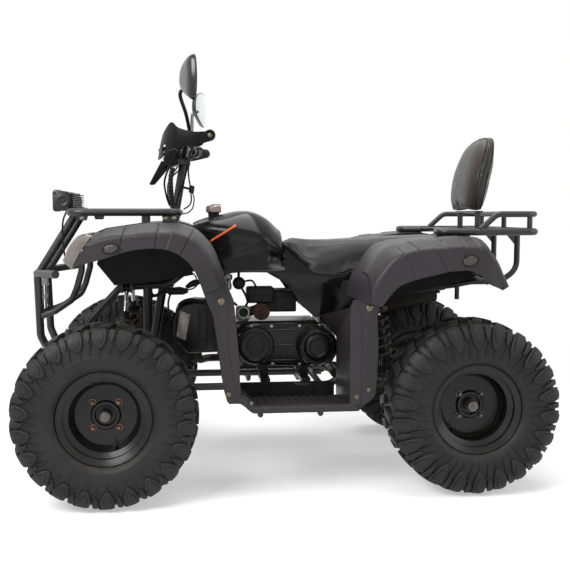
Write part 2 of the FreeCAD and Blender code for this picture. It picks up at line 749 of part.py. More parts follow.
def frame():
    """Welded tube frame: lower rails, front box, spine under the tank, seat rails, tail."""
    z, box, top = S.rail_height, S.box_half, S.box_top
    lower = tube([
        (BOX_FRONT_X, box, z), (FOOT_X + 44, box, z), (FOOT_X + 120, S.rail_spread, z),
        (PIVOT_X - 10, S.rail_spread, z), (PIVOT_X + 62, 118, 430), (PIVOT_X + 70, 118, 650),
    ], R, 60)
    upper = tube([
        (BROW_X, box, top), (FOOT_X, box, top + 4), (-392, 96, top + 8), (-318, 96, SPINE_Z),
        (-60, 96, SPINE_Z), SEAT_RAIL[0], SEAT_RAIL[1], SEAT_RAIL[2], SEAT_RAIL[3],
    ], R, 60)
    brow = tube([(BOX_FRONT_X, box, z), (BOX_FRONT_X, box, 524), (BROW_X, box, top)], R, 45)
    upright = rod((FOOT_X, box, z), (FOOT_X, box, top), R)
    tail = tube([
        (PIVOT_X + 70, 118, 600), (REAR_X + 30, 118, 640), (REAR_X + 90, 118, TAIL_Z),
        (REAR_X + 196, 118, TAIL_Z), (SUPPORT_X, 118, TAIL_Z + 42),
        (SUPPORT_X, 118, S.rear_rack_height - S.rack_tube_radius - S.seat_gap),
    ], 10, 60)
    shapes = []
    for shape in (lower, upper, brow, upright, tail):
        shapes += both(shape)
    cross = [
        (BOX_FRONT_X, box, z), (BROW_X, box, top), (FOOT_X, box, z), (346, 118, 696),
        (FOOT_X + 120, S.rail_spread, z), (-60, S.rail_spread, z), (PIVOT_X - 60, S.rail_spread, z),
        (SEAT_RAIL[2][0], 118, SEAT_RAIL[2][2]), (SEAT_RAIL[3][0], 118, SEAT_RAIL[3][2]),
        (REAR_X + 150, 118, TAIL_Z),
    ]
    shapes += [rod((x, -y, height), (x, y, height), R - 1) for x, y, height in cross]
    # Steering bearing: a collar carried by a cross tube behind the column
    middle = column_point(top + 4)
    collar_low, collar_high = middle - UP_COLUMN * 17, middle + UP_COLUMN * 17
    bearing = rod(collar_low, collar_high, S.column_radius + 12)
    tie = rod((middle.x + 28, -96, top + 6), (middle.x + 28, 96, top + 6), R - 2)
    web = block((middle.x + 8, -14, top - 6), (middle.x + 28, 14, top + 14))
    whole = union(shapes + [bearing, tie, web])
    bore = rod(collar_low - UP_COLUMN * 10, collar_high + UP_COLUMN * 10, S.column_radius + S.running_gap)
    whole = whole.cut(bore)
    # Pads that carry the engine
    pads = [block((x - 16, -S.rail_spread, z + 6), (x + 16, S.rail_spread, z + 22))
            for x in (-60, ENGINE_FOOT_X)]
    # Blocks that carry the seat, ears that carry the dampers' heads, posts under the panels
    pads += [block((x - 12, -90, low), (x + 12, 90, seat_low(x - 12) - S.seat_gap))
             for x, low in ((300, 690), (560, 742))]
    x, y, head = SHOCK_HEAD
    for d in (-16, 16):
        pads += both(block((x + d - 3, box, head - 14), (x + d + 3, y + 14, head + 14)))
    x, _, head = REAR_SHOCK_HEAD
    pads += both(block((x - 14, 16, head - 14), (x + 14, 21, 696)))
    pads += both(rod((FOOT_X, 76, top), (FOOT_X, 76, S.front_radius + 574 - S.seat_gap), 9))
    pads += both(rod((REAR_X + 40, 118, 590), (REAR_X + 40, 118, 770), 8))
    keep("frame", union([whole] + pads))


ARM_PIVOTS = (BOX_FRONT_X, FOOT_X)
ARM_Y = S.box_half + S.tube_radius + S.seat_gap + S.arm_bush_radius


def front_arms():
    """One A-shaped arm a side, from its two frame pivots to the kingpin sleeve."""
    y, z = KINGPIN_Y, S.front_radius
    sleeve = rod((FRONT_X, y, z - S.sleeve_height / 2), (FRONT_X, y, z + S.sleeve_height / 2),
                 S.sleeve_radius)
    legs, bushes = [], []
    for x in ARM_PIVOTS:
        bushes.append(rod((x - 22, ARM_Y, S.rail_height), (x + 22, ARM_Y, S.rail_height),
                          S.arm_bush_radius))
        legs.append(rod((x, ARM_Y, S.rail_height), (FRONT_X + (x - FRONT_X) * 0.06, y - 8, z),
                        S.arm_tube_radius))
    share = 0.45
    ends = [(x + (FRONT_X - x) * share, ARM_Y + (y - ARM_Y) * share, S.rail_height - 6) for x in ARM_PIVOTS]
    brace = rod(ends[0], ends[1], 8)
    x, seat_y = SHOCK_FOOT[0], SHOCK_FOOT[1]
    ears = [block((x + d - 3, seat_y - 13, z), (x + d + 3, seat_y + 13, SHOCK_FOOT[2] + 12))
            for d in (-16, 16)]
    arm = union(legs + bushes + [sleeve, brace] + ears)
    arm = arm.cut(rod((FRONT_X, y, z - 60), (FRONT_X, y, z + 60), S.kingpin_radius + S.running_gap))
    keep("front_arms", Part.makeCompound(both(arm)))


def coil(foot, head, low, high, turns, radius, wire):
    """Spring as separate level rings joined by a thin sleeve, along the line from foot to head."""
    foot, head = V(*foot), V(*head)
    axis = (head - foot).normalize()
    rings = []
    for i in range(turns):
        middle = foot + axis * (low + (high - low) * i / (turns - 1))
        rings.append(Part.makeTorus(radius - wire, wire, middle, axis))
    sleeve = rod(foot + axis * low, foot + axis * high, radius - wire)
    return [sleeve] + rings


def shock(foot, head, radius, spring_low, spring_high, turns, shaft, bolt):
    """Damper with its spring and an eye at each end."""
    foot_v, head_v = V(*foot), V(*head)
    axis = (head_v - foot_v).normalize()
    length = (head_v - foot_v).Length
    eyes = [rod(p - bolt, p + bolt, 12) for p in (foot_v, head_v)]
    neck = rod(foot_v, foot_v + axis * (spring_low - 10), 10)
    body = rod(foot_v + axis * (spring_low - 10), foot_v + axis * spring_high, 17)
    stem = rod(foot_v + axis * spring_high, head_v, shaft)
    seats = [
        rod(foot_v + axis * at, foot_v + axis * (at + 8), radius + 1)
        for at in (spring_low - 10, min(spring_high + 2, length - 20))
    ]
    spring = coil(foot, head, spring_low, spring_high, turns, radius, 4.5)
    return union([neck, body, stem] + eyes + seats + spring)


def front_shocks():
    one = shock(SHOCK_FOOT, SHOCK_HEAD, 28, 60, 240, 8, 9, V(13 - S.seat_gap, 0, 0))
    keep("front_shocks", Part.makeCompound(both(one)))


def swingarm():
    """Rear arm: pivot tube, two legs and the axle's bearing housing."""
    z = S.rear_radius
    pivot = rod((PIVOT_X, -84, PIVOT_Z), (PIVOT_X, 84, PIVOT_Z), 17)
    housing = rod((REAR_X, -S.carrier_half, z), (REAR_X, S.carrier_half, z), S.carrier_radius)
    legs = []
    for side in (LEFT, RIGHT):
        legs.append(tube([
            (PIVOT_X, side * 72, PIVOT_Z), (PIVOT_X + 120, side * 62, PIVOT_Z - 10),
            (REAR_X - 8, side * 30, z),
        ], 15, 60))
    x = REAR_X - 190
    bridge = rod((x, -46, 312), (x, 46, 312), 12)
    ears = [block((x - 14, y - 4, 312), (x + 14, y + 4, 352)) for y in (-20, 20)]
    whole = union([pivot, housing, bridge] + legs + ears)
    bore = rod((REAR_X, -80, z), (REAR_X, 80, z), S.axle_radius + S.running_gap)
    keep("swingarm", whole.cut(bore))


def rear_shock():
    bolt = V(0, 16 - S.seat_gap, 0)
    keep("rear_shock", shock(REAR_SHOCK_FOOT, REAR_SHOCK_HEAD, 37, 34, 200, 7, 9, bolt))


SPROCKET_Y, SPROCKET_RADIUS, CHAIN_WIDTH = 92.0, 86.0, 9.0
DRIVE_X, DRIVE_Z, DRIVE_RADIUS = 128.0, 372.0, 34.0


def rear_axle():
    """Solid axle with the brake disc on the left and the sprocket on the right."""
    z = S.rear_radius
    end = S.rear_track / 2 + S.rear_flange_half - S.rear_disc_recess + 26 + 12
    shaft = rod((REAR_X, -end, z), (REAR_X, end, z), S.axle_radius)
    disc = rod((REAR_X, -98, z), (REAR_X, -94, z), 88)
    sprocket = rod((REAR_X, SPROCKET_Y - 3, z), (REAR_X, SPROCKET_Y + 3, z), SPROCKET_RADIUS)
    carriers = [rod((REAR_X, a, z), (REAR_X, b, z), 34) for a, b in ((-104, -84), (82, 102))]
    keep("rear_axle", union([shaft, disc, sprocket] + carriers))


def drive_chain():
    """Roller chain as one loop round the engine's and the axle's sprockets."""
    z = S.rear_radius
    gap = 0.8
    big, small = SPROCKET_RADIUS + gap, DRIVE_RADIUS + gap
    apart = hypot(REAR_X - DRIVE_X, z - DRIVE_Z)
    lean = atan2(z - DRIVE_Z, REAR_X - DRIVE_X)
    open_angle = atan2(big - small, apart)

    def loop(offset):
        far, near = big + offset, small + offset
        points = []
        for i in range(25):
            angle = lean + (pi / 2 + open_angle) * (1 - i / 12)
            points.append((REAR_X + far * cos(angle), z + far * sin(angle)))
        for i in range(13):
            angle = lean - (pi / 2 + open_angle) - (pi - 2 * open_angle) * i / 12
            points.append((DRIVE_X + near * cos(angle), DRIVE_Z + near * sin(angle)))
        return points

    low, high = SPROCKET_Y - CHAIN_WIDTH / 2, SPROCKET_Y + CHAIN_WIDTH / 2
    outer, inner = slab(loop(11), low, high), slab(loop(0), low - 1, high + 1)
    keep("drive_chain", outer.cut(inner))


front_arms()
frame()
front_shocks()
swingarm()
rear_shock()
rear_axle()
drive_chain()

# Engine
CASE_LOW, CASE_HIGH = 352.0, 516.0


def engine_case():
    """Crankcase as one closed block at its real place and size."""
    outline = [
        (-166, 372), (-140, CASE_LOW), (150, CASE_LOW), (178, 372), (178, 470), (120, CASE_HIGH),
        (-166, CASE_HIGH)
    ]
    case = slab(outline, -70, 74)
    foot = [block((x - 14, -60, S.rail_height + 22.3), (x + 14, 60, CASE_LOW))
            for x in (-60, ENGINE_FOOT_X)]
    sprocket = rod((DRIVE_X, 74, DRIVE_Z), (DRIVE_X, SPROCKET_Y + 3, DRIVE_Z), DRIVE_RADIUS)
    magneto = rod((-100, 74, 440), (-100, 96, 440), 66)
    keep("engine_case", union([case, sprocket, magneto] + foot))


def drive_cover():
    """Belt-drive cover: a long cover with a round dome over the rear pulley."""
    front, rear = V(-96, 0, 440), V(113, 0, 438)
    outline = []
    for centre, radius, start in ((front, 69, 90), (rear, 74, 270)):
        for i in range(9):
            angle = radians(start + 180 * i / 8)
            outline.append((centre.x + radius * cos(angle), centre.z + radius * sin(angle)))
    plate = slab(outline, -138, -70.3)
    dome = rod((rear.x, -138, rear.z), (rear.x, -184, rear.z), 70, 60)
    boss = rod((rear.x, -184, rear.z), (rear.x, -196, rear.z), 44, 36)
    round_front = rod((front.x, -138, front.z), (front.x, -152, front.z), 66, 60)
    keep("drive_cover", union([plate, dome, boss, round_front]))


def cylinder_shroud():
    """Forward cylinder in its cooling shroud, with the valve cover on its left face."""
    outline = [(-166.3, 408), (-166.3, 512), (-205, 575), (-300, 592), (-366, 566),
               (-378, 470), (-330, 404)]
    cover = slab([(-352, 560), (-314, 544), (-332, 452), (-366, 466)], -86, -70)
    keep("cylinder", union([slab(outline, -74, 74), cover]))


def intake():
    """Carburettor beside the cylinder, an elbow and the filter box under the seat's nose."""
    body = block((-160, -112, 522), (-110, -62, 572))
    bowl = rod((-135, -88, CASE_HIGH + S.seat_gap), (-135, -88, 530), 20)
    top = rod((-135, -112, 552), (-135, -124, 552), 22)
    box = block((-78, -86, 548), (52, 60, 622))
    elbow = rod((-112, -88, 552), (-60, -60, 566), 17)
    disc = rod((-66, -84, 560), (-66, -106, 560), 28)
    keep("intake", union([body, bowl, top, box, elbow, disc]))


def exhaust():
    """Header under the right side, muffler between frame and right rear wheel."""
    pipe = tube([
        (-290, 60, 420), (-290, 60, 360), (-250, 168, 350), (60, 180, 352), (250, 180, 470),
        (330, 182, 545),
    ], 14, 40)
    pipe = pipe.cut(slab([(-166.3, 408), (-330, 404), (-378, 470), (-378, 592), (-166.3, 592)], -74, 74))
    can = rod((326, 200, 541), (620, 200, 600), 48)
    tip = rod((616, 200, 599), (664, 200, 608), 13)
    keep("exhaust", union([pipe, can, tip]))


engine_case()
drive_cover()
cylinder_shroud()
intake()
exhaust()

# Seat and body panels


def seat():
    """Long two-up seat, closed below by its pan."""
    sections = []
    for x, top, low_half, high, low in SEAT_STATIONS:
        crown = high - 12
        sections.append([
            (x, -low_half, low), (x, -low_half + 2, (crown + low) / 2), (x, -top, crown),
            (x, -top * 0.6, high), (x, top * 0.6, high), (x, top, crown),
            (x, low_half - 2, (crown + low) / 2), (x, low_half, low),
        ])
    keep("seat", loft(sections))


TUNNEL_HALF, TUNNEL_Z = 116.0, 724.0
TANK_STATIONS = [
    # x, half width of the crown, of the shoulder, of the lower edge; z of crown, shoulder, low
    (-305, 40, 78, 92, 858, 836, 768),
    (-262, 62, 112, 128, 875, 842, 740),
    (-206, 72, 138, 158, 887, 842, 693),
    (-150, 76, 148, 164, 898, 838, 692),
    (-100, 74, 148, 164, 896, 828, 692),
    (-50, 66, 138, 162, 873, 806, 691),
    (-12, 52, 116, 158, 839, 780, 691),
    (3, 44, 100, 156, 822, 764, 691),
]


def tank_cover():
    """Gloss cover over the fuel tank, closed as the tank fills it."""
    sections = []
    for x, crown, shoulder, low_half, top, mid, low in TANK_STATIONS:
        # Hollow underneath for the frame's spine tubes
        inner, roof = min(TUNNEL_HALF, low_half - 14), max(low, TUNNEL_Z)
        sections.append([
            (x, inner, roof), (x, -inner, roof), (x, -inner - 3, low), (x, -low_half, low),
            (x, -shoulder - 6, (mid + low) / 2 + 10), (x, -shoulder, mid), (x, -crown, top - 8),
            (x, -crown * 0.4, top), (x, crown * 0.4, top), (x, crown, top - 8), (x, shoulder, mid),
            (x, shoulder + 6, (mid + low) / 2 + 10), (x, low_half, low), (x, inner + 3, low),
        ])
    keep("tank_cover", loft(sections))


def filler_cap():
    """Vented cap on its neck."""
    x, z = -232, 872
    neck = rod((x, 0, z), (x, 0, z + 22), 21)
    cap = rod((x, 0, z + 22), (x, 0, z + 46), 27)
    lever = block((x + 8, -5, z + 46), (x + 30, 5, z + 51))
    keep("filler_cap", union([neck, cap, lever]).cut(nodes["tank_cover"].Shape))


SIDE_PANEL = [(-36, 690.6), (3.4, 690.6), (3.4, 774), (21, 752), (56, 722), (98, 692), (150, 684),
              (198, 684), (227, 693), (292, 719), (318, 722), (262, 640), (246, 598), (228, 566),
              (108, 536), (66, 573), (14, 647)]


def side_panels():
    inside = -max(station[2] for station in SEAT_STATIONS[:4]) - S.seat_gap
    panel = slab(SIDE_PANEL, inside - S.panel_wall, inside)
    panel = panel.cut(nodes["seat"].Shape).cut(nodes["tank_cover"].Shape)
    keep("side_panels", Part.makeCompound(both(panel)))


# Fender stations: crown line and lower edge in X and Z, measured from the wheel's centre,
# with the distances of inner edge, crown fold and outer edge from the bike's middle
FRONT_FENDER = [
    ((-118, 440), (-108, 436), 300, 400, 462),
    ((-66, 529), (-94, 448), 250, 430, 500),
    ((-18, 547), (-52, 460), 200, 440, 508),
    ((35, 560), (0, 474), 150, 446, 510),
    ((95, 568), (74, 497), 150, 450, 512),
    ((140, 572), (129, 505), 150, 450, 512),
    ((215, 572), (174, 504), 150, 450, 512),
    ((274, 552), (211, 494), 160, 448, 510),
    ((306, 524), (246, 470), 172, 444, 508),
    ((328, 495), (268, 443), 184, 440, 504),
    ((346, 452), (288, 398), 196, 436, 494),
    ((366, 392), (298, 368), 204, 432, 478),
]
REAR_FENDER = [
    ((-366, 342), (-306, 328), 204, 424, 478),
    ((-348, 405), (-278, 367), 200, 424, 482),
    ((-314, 459), (-250, 393), 190, 426, 488),
    ((-277, 497), (-207, 409), 178, 430, 492),
    ((-234, 515), (-156, 422), 172, 434, 496),
    ((-184, 522), (-114, 432), 170, 438, 498),
    ((-133, 528), (-73, 437), 170, 440, 500),
    ((-46, 534), (-34, 436), 170, 442, 500),
    ((13, 528), (-1, 421), 170, 440, 498),
    ((39, 503), (24, 396), 172, 434, 494),
    ((65, 470), (46, 386), 176, 426, 486),
    ((87, 432), (62, 380), 180, 418, 476),
    ((107, 390), (76, 374), 184, 410, 466),
]


# Raised ribs across the fenders, as crown places measured from the wheel's centre
FRONT_RIBS = [(8, 67), (106, 165), (216, 274)]
REAR_RIBS = [(-366, -262), (-213, -163), (-116, -53), (-8, 107)]
RIB_RISE, RIB_EDGE = 3.0, 3.0


def ribbed(stations, ribs):
    """The stations with two more at each rib's edge, each with its rise."""
    places = [station[0][0] for station in stations]

    def between(place):
        i = max(k for k in range(len(places) - 1) if places[k] <= place)
        share = (place - places[i]) / (places[i + 1] - places[i])
        one, two = stations[i], stations[i + 1]
        points = [tuple(a + (b - a) * share for a, b in zip(one[k], two[k])) for k in (0, 1)]
        return (*points, *(one[k] + (two[k] - one[k]) * share for k in (2, 3, 4)))

    edges = [(edge, side) for rib in ribs
             for edge, side in zip(rib, (1, -1)) if places[0] < edge < places[-1]]
    rows = []
    for place, station in zip(places, stations):
        if all(abs(place - edge) > 2 * RIB_EDGE for edge, _ in edges):
            raised = any(low <= place <= high for low, high in ribs)
            rows.append((station, RIB_RISE if raised else 0.0))
    for edge, side in edges:
        rows += [(between(edge - side * RIB_EDGE), 0.0), (between(edge + side * RIB_EDGE), RIB_RISE)]
    return sorted(rows, key=lambda row: row[0][0][0])


def fender(rows, wheel_x, wheel_z, deck=1.0):
    """An arched panel: a deck that folds down into a side skirt."""
    sections = []
    for ((cx, cz), (ex, ez), inner, crown, outer), rise in rows:
        top = V(wheel_x + cx, 0, wheel_z + cz)
        edge = V(wheel_x + ex, 0, wheel_z + ez)
        down = edge - top
        depth = down.Length
        down.normalize()

        def at(y, drop):
            spot = top + down * drop
            return (spot.x, y, spot.z)

        wall = S.panel_wall
        fold = min(26.0, depth * 0.4)
        sections.append([
            at(inner, -6 - deck * rise), at(crown - 40, -4 - deck * rise), at(crown + rise * 0.5, 2 - rise),
            at((crown + outer) / 2 + 4 + rise * 0.7, fold * 0.5 - rise * 0.7), at(outer - 4 + rise, fold),
            at(outer + rise, depth), at(outer - wall, depth), at(outer - 4 - wall, fold + wall),
            at((crown + outer) / 2, fold * 0.5 + wall), at(crown - 2, 2 + wall), at(crown - 40, wall - 4),
            at(inner, wall - 6),
        ])
    return loft(sections)


# Line in X and Z where each front corner ends at its lamp
LAMP_LINE = ((FRONT_X - 85, S.front_radius + 446), (FRONT_X - 31, S.front_radius + 540))


def front_fenders():
    """One moulding over both front wheels, joined by a deck behind the nose."""
    arch = fender(ribbed(FRONT_FENDER, FRONT_RIBS), FRONT_X, S.front_radius)
    low, high = LAMP_LINE
    arch = arch.cut(slab([
        (FRONT_X - 18, high[1] + 24), high, low, (low[0] - 43, low[1] - 88), (FRONT_X - 230, low[1] - 88),
        (FRONT_X - 230, high[1] + 80), (FRONT_X - 66, high[1] + 80),
    ], 120, 560))
    z = S.front_radius + 572
    deck_low, deck_high = z + 2, z + 2 + S.panel_wall
    deck = block((FRONT_X + 96, -152, deck_low), (FRONT_X + 196, 152, deck_high))
    deck = deck.cut(block((column_point(deck_low).x - 26, -26, 0), (0, 26, 1000)))
    keep("front_fenders", union(both(arch) + [deck]))


def front_cowl():
    """Nose between the lamps, from the deck down to the grille."""
    x, z = FRONT_X, S.front_radius
    brow = x + 96 - S.seat_gap
    profile = [
        (brow, z + 577), (x - 20, z + 560), (x - 62, z + 542), (x - 122, z + 462), (x - 122, z + 446),
        (x - 90, z + 446), (x - 90, z + 450), (x - 118, z + 450), (x - 117, z + 461), (x - 58, z + 537),
        (x - 18, z + 555), (brow, z + 572),
    ]
    nose = slab(profile, -148, 148)
    keep("front_cowl", nose)


def headlights():
    """Two slanted lamps set in the fenders' front corners."""
    (low_x, low_z), (high_x, high_z) = LAMP_LINE
    # Each section: its Y, how far down and up the lamp line it runs, then the lens from top to bottom
    sections = [
        (156, 0, 0, [(-58, 548), (-82, 534), (-102, 508), (-116, 474), (-122, 456), (-96, 445)]),
        (300, 0, 0, [(-62, 548), (-88, 536), (-110, 508), (-124, 474), (-130, 456), (-100, 445)]),
        (440, 1, 0, [(-53, 544), (-76, 538), (-100, 512), (-114, 480), (-118, 466), (-94, 445)]),
        (478, 2, 4, [(-46, 536), (-64, 526), (-84, 502), (-96, 476), (-100, 462), (-90, 447)]),
        (497, 5, 10, [(-40, 527), (-48, 516), (-62, 494), (-74, 473), (-82, 458), (-85, 451)]),
    ]
    slope = (high_x - low_x) / (high_z - low_z)
    made = []
    for side in SIDES.values():
        shells = []
        for y, up, down, lens in sections:
            top = (high_x - slope * down - 3 * S.seat_gap, high_z - down)
            foot = (low_x + slope * up - 3 * S.seat_gap, low_z + up)
            outline = [top, *((FRONT_X + a, S.front_radius + b) for a, b in lens), foot]
            shells.append([(a, side * y, b) for a, b in outline])
        made.append(loft(shells))
    keep("headlights", Part.makeCompound(made))


def rear_fenders():
    """One moulding over both rear wheels, joined behind the seat by a deck that drops to the tail."""
    arch = fender(ribbed(REAR_FENDER, REAR_RIBS), REAR_X, S.rear_radius, 0.0)
    upper, lower = [], []
    for (cx, cz), (ex, ez), _, _, _ in REAR_FENDER[8:]:
        down = V(ex - cx, 0, ez - cz).normalize()
        upper.append((REAR_X + cx - 6 * down.x, S.rear_radius + cz - 6 * down.z))
        lower.append((REAR_X + cx + (S.panel_wall - 6) * down.x,
                      S.rear_radius + cz + (S.panel_wall - 6) * down.z))
    tail = slab(upper + lower[::-1], -190, 190)
    keep("rear_fenders", union(both(arch) + [tail]).cut(nodes["seat"].Shape))


def tail_lamps():
    """Rear lamp on the tail and amber marks on the fenders' sides."""
    x, z = REAR_X + 112.3, S.rear_radius + 404
    lamp = block((x + S.seat_gap, -70, z - 22), (x + 22, 70, z + 16))
    marks = []
    for side in SIDES.values():
        marks.append(rod((REAR_X - 24, side * 499.4, 736), (REAR_X - 24, side * 505, 736), 13))
        marks.append(rod((FRONT_X + 48, side * 514.2, 772), (FRONT_X + 48, side * 519, 772), 14))
    keep("lamps", Part.makeCompound([lamp] + marks))


def inner_panels():
    """Dark liners beside the frame, under the front and the rear fenders."""
    x = FRONT_X
    outline = [(x - 52, 723), (x + 6, 650), (x + 20, 654.3), (x + 76, 654.3), (x + 150, 664),
               (x + 266, 684), (x + 256, 768), (x + 200, 830), (x + 40, 830), (x - 30, 790)]
    front = slab(outline, -146, -146 + 3)
    inside = 118 + S.tube_radius + 0.5 + S.seat_gap
    rear = slab([(385, 606), (435, 613), (536, 634), (664, 662), (668, 668), (655, 700), (632, 735),
                 (600, 752), (430, 745), (385, 700)], -inside - 3, -inside)
    keep("inner_panels", Part.makeCompound(both(front) + both(rear)))


def seam(station, wheel_x, wheel_z, front, rear):
    """Top edge of a foot guard, just below the end of the fender above it."""
    (cx, cz), (ex, ez) = station[:2]
    slope = (cz - ez) / (cx - ex)
    return [(x, wheel_z + ez + slope * (x - wheel_x - ex) - SEAM_GAP) for x in (front, rear)]


def inward(corner, other, share=0.06):
    return tuple(a + (b - a) * share for a, b in zip(corner, other))


SEAM_GAP = 0.8
FRONT_SEAM = seam(FRONT_FENDER[-1], FRONT_X, S.front_radius, -275, -203)
REAR_SEAM = seam(REAR_FENDER[0], REAR_X, S.rear_radius, 190, 274)


def foot_guards():
    """Guards with a wall behind the front wheel, a floor and a wall before the rear wheel, turned in."""
    wall = S.panel_wall
    face = REAR_X - 397
    outer_face = [
        *FRONT_SEAM, (-184, 628), (-176, 554), (-167, 439), (-163, 332), (-148, 328), (-118, 296),
        (face, 296), (face, 600), *REAR_SEAM, (264, 580), (268, 480), (262, 324),
        (208, 272), (-118, 272), (-150, 304), (-203, 308), (-215, 350), (-232, 481), (-246, 577),
    ]
    skin = slab(outer_face, 426, 426 + wall)
    ribbon = [FRONT_SEAM[0], (-246, 577), (-232, 481), (-215, 350), (-203, 308), (-150, 304), (-118, 272),
              (face + wall, 272)]
    inside = [inward(FRONT_SEAM[0], FRONT_SEAM[1]), (-241, 577), (-227, 481), (-210, 352), (-199, 313),
              (-148, 309), (-116, 277), (face + wall, 277)]
    band = slab(ribbon + inside[::-1], 200, 426)
    sill = slab([(face, 272), (208, 272), (262, 324), (268, 480), (263, 480), (257, 326), (206, 277),
                 (face, 277)], 396, 426)
    for word, side, inner in (("left", LEFT, S.seat_gap + S.panel_wall + 161), ("right", RIGHT, 232)):
        # Upright wall across, with a flap that leans forward to the side panel
        knee = V(face, inner, 470)
        upright = loft([
            [(x, 426, 272), (x, inner, 272), tuple(knee + V(x - face, 0, 0)), (x, 426, 598)]
            for x in (face, face + wall)
        ])
        lean = -58 if word == "left" else -30
        flap = loft([
            [(x, 426, 598), (x, inner, 470), (x + lean, inner, 545)] for x in (face, face + wall)
        ])
        one = union([skin, band, sill, upright, flap])
        keep(f"foot_guard_{word}", one if side == RIGHT else mirrored(one))


def footrests():
    """Bent tubes under the floors that carry them, bolted to the lower rails."""
    made = []
    for x in (-100, 90):
        y = S.rail_spread + R + S.seat_gap
        z = 272 - S.seat_gap - 9
        made.append(tube([(x, y + 9, S.rail_height - 6), (x, y + 30, z), (x, 300, z), (x, 410, z)], 9, 30))
    keep("footrest_stays", Part.makeCompound(both(made[0]) + both(made[1])))


seat()
tank_cover()
filler_cap()
side_panels()
front_fenders()
front_cowl()
headlights()
rear_fenders()
tail_lamps()
inner_panels()
foot_guards()
footrests()

# Carriers, bumper, lamp bar, backrest, hitch
RACK_FRONT_X = FRONT_X - 120
RACK_REAR_X = RACK_FRONT_X + S.front_rack_length
BUMPER_Y = 103.0
RACK_ROOM = 16.0


def front_rack():
    """Tube hoop on feet, with cross bars."""
    z, half, r = S.front_rack_height, S.front_rack_half, S.rack_tube_radius
    # The rear tube bends ahead of the steering column
    notch = column_point(z).x - S.column_radius - RACK_ROOM - r
    hoop = [tube([
        (RACK_FRONT_X, 0, z), (RACK_FRONT_X, half, z), (RACK_REAR_X, half, z), (RACK_REAR_X, 130, z),
        (notch, 70, z), (notch, 0, z),
    ], r, 45)]
    spots = [RACK_FRONT_X + 75 * i for i in (1, 2, 3)]
    bars = [rod((x, -half, z), (x, half, z), S.rack_bar_radius) for x in spots]
    low = S.front_radius + 578 + S.seat_gap
    feet = [rod((x, y, low), (x, y, z), 9) for x, y in ((spots[2], 120), (notch + 10, 80))]
    shapes = bars[:]
    for shape in hoop + feet:
        shapes += both(shape)
    keep("front_rack", union(shapes))


def front_bumper():
    """Two bent main tubes from the carrier down to the frame, a swept cross bar and side stays."""
    r = 13.0
    y, x = BUMPER_Y, FRONT_X
    # Ends stop at the faces of the carrier's tube and of the frame's uprights
    head, knee = V(RACK_FRONT_X, y, S.front_rack_height), V(x - 252, y, 684)
    start = head + (knee - head).normalize() * (S.rack_tube_radius + S.seat_gap)
    end_x = BOX_FRONT_X - S.tube_radius - S.seat_gap
    main = tube([
        tuple(start), tuple(knee), (x - 246, y, 480), (x - 190, S.box_half, 352), (end_x, S.box_half, 352),
    ], r, 45)
    bar = tube([(x - 170, -252, 696), (x - 254, -108, 690), (x - 254, 108, 690),
                (x - 170, 252, 696)], 13, 60)
    lip = S.front_radius + 446 - S.seat_gap
    stay = tube([
        (x - 104, 124, lip), (x - 104, 124, lip - 28), (x - 121, 124, 640), (x - 137, 120, 603),
        (x - 196, 112, 563), (x - 242, y, 546),
    ], 11, 34)
    plate = block((x - 250, -y, 540), (x - 246, y, 668))
    for low in (560, 610):
        for mid in (-52, 0, 52):
            plate = plate.cut(block((x - 260, mid - 20, low), (x - 240, mid + 20, low + 34)))
    shapes = [bar, plate]
    for shape in (main, stay):
        shapes += both(shape)
    keep("front_bumper", union(shapes))


def lamp_bar():
    """Finned lamp bar on the carrier's front tube."""
    half, x, z = 160.0, RACK_FRONT_X - 38, 932.0
    body = loft([
        [(x - 28, y, z - 30), (x - 28, y, z + 30), (x, y, z + 34), (x + 20, y, z + 28), (x + 20, y, z - 28),
         (x, y, z - 34)]
        for y in (-half + 5, half - 5)
    ])
    fins = [block((x + 18, -half + 8, z + h), (x + 34, half - 8, z + h + 3))
            for h in (-26, -17, -8, 1, 10, 19)]
    ends = [block((x - 32, y, z - 36), (x + 26, y + 5, z + 36)) for y in (-half, half - 5)]
    low = S.front_rack_height + S.rack_tube_radius + S.seat_gap
    brackets = [block((x + 8, y, low), (x + 50, y + 5, z + 10)) for y in (-110, 105)]
    keep("lamp_bar", union([body] + fins + ends + brackets))


PLATFORM_FRONT = REAR_X - 86
PLATFORM_REAR = REAR_X + 261
POST_X = REAR_X + 116


def rear_rack():
    """Platform hoop with bars, a raised rail at its rear and two posts with a plate for the backrest."""
    z, top, half, r = S.rear_rack_height, S.rear_rail_height, S.rear_rack_half, S.rack_tube_radius
    front, rear = PLATFORM_FRONT + r, PLATFORM_REAR - r
    side = tube([(front + 70, 210, z), (front, 238, z), (front, half, z), (rear, half, z),
                 (rear, 0, z)], r, 30)
    rail = tube([(REAR_X + 56, half, z + 8), (REAR_X + 112, half, top), (rear, half, top),
                 (rear, 0, top)], r - 2, 36)
    bars = [rod((x, -half, z), (x, half, z), S.rack_bar_radius)
            for x in (REAR_X + 46, POST_X, REAR_X + 180)]
    long_bar = rod((front + 70, 210, z), (rear, 210, z), S.rack_bar_radius)
    posts = [rod((rear, y, z), (rear, y, top), 9) for y in (0, 245)]
    posts.append(rod((POST_X, 100, z), (POST_X, 100, z + 66), 10))
    plate = block((POST_X - 14, -114, z + 63), (POST_X + 14, 114, z + 70 - S.seat_gap))
    shapes = bars + [plate]
    for shape in [side, rail, long_bar] + posts:
        shapes += both(shape)
    keep("rear_rack", union(shapes))


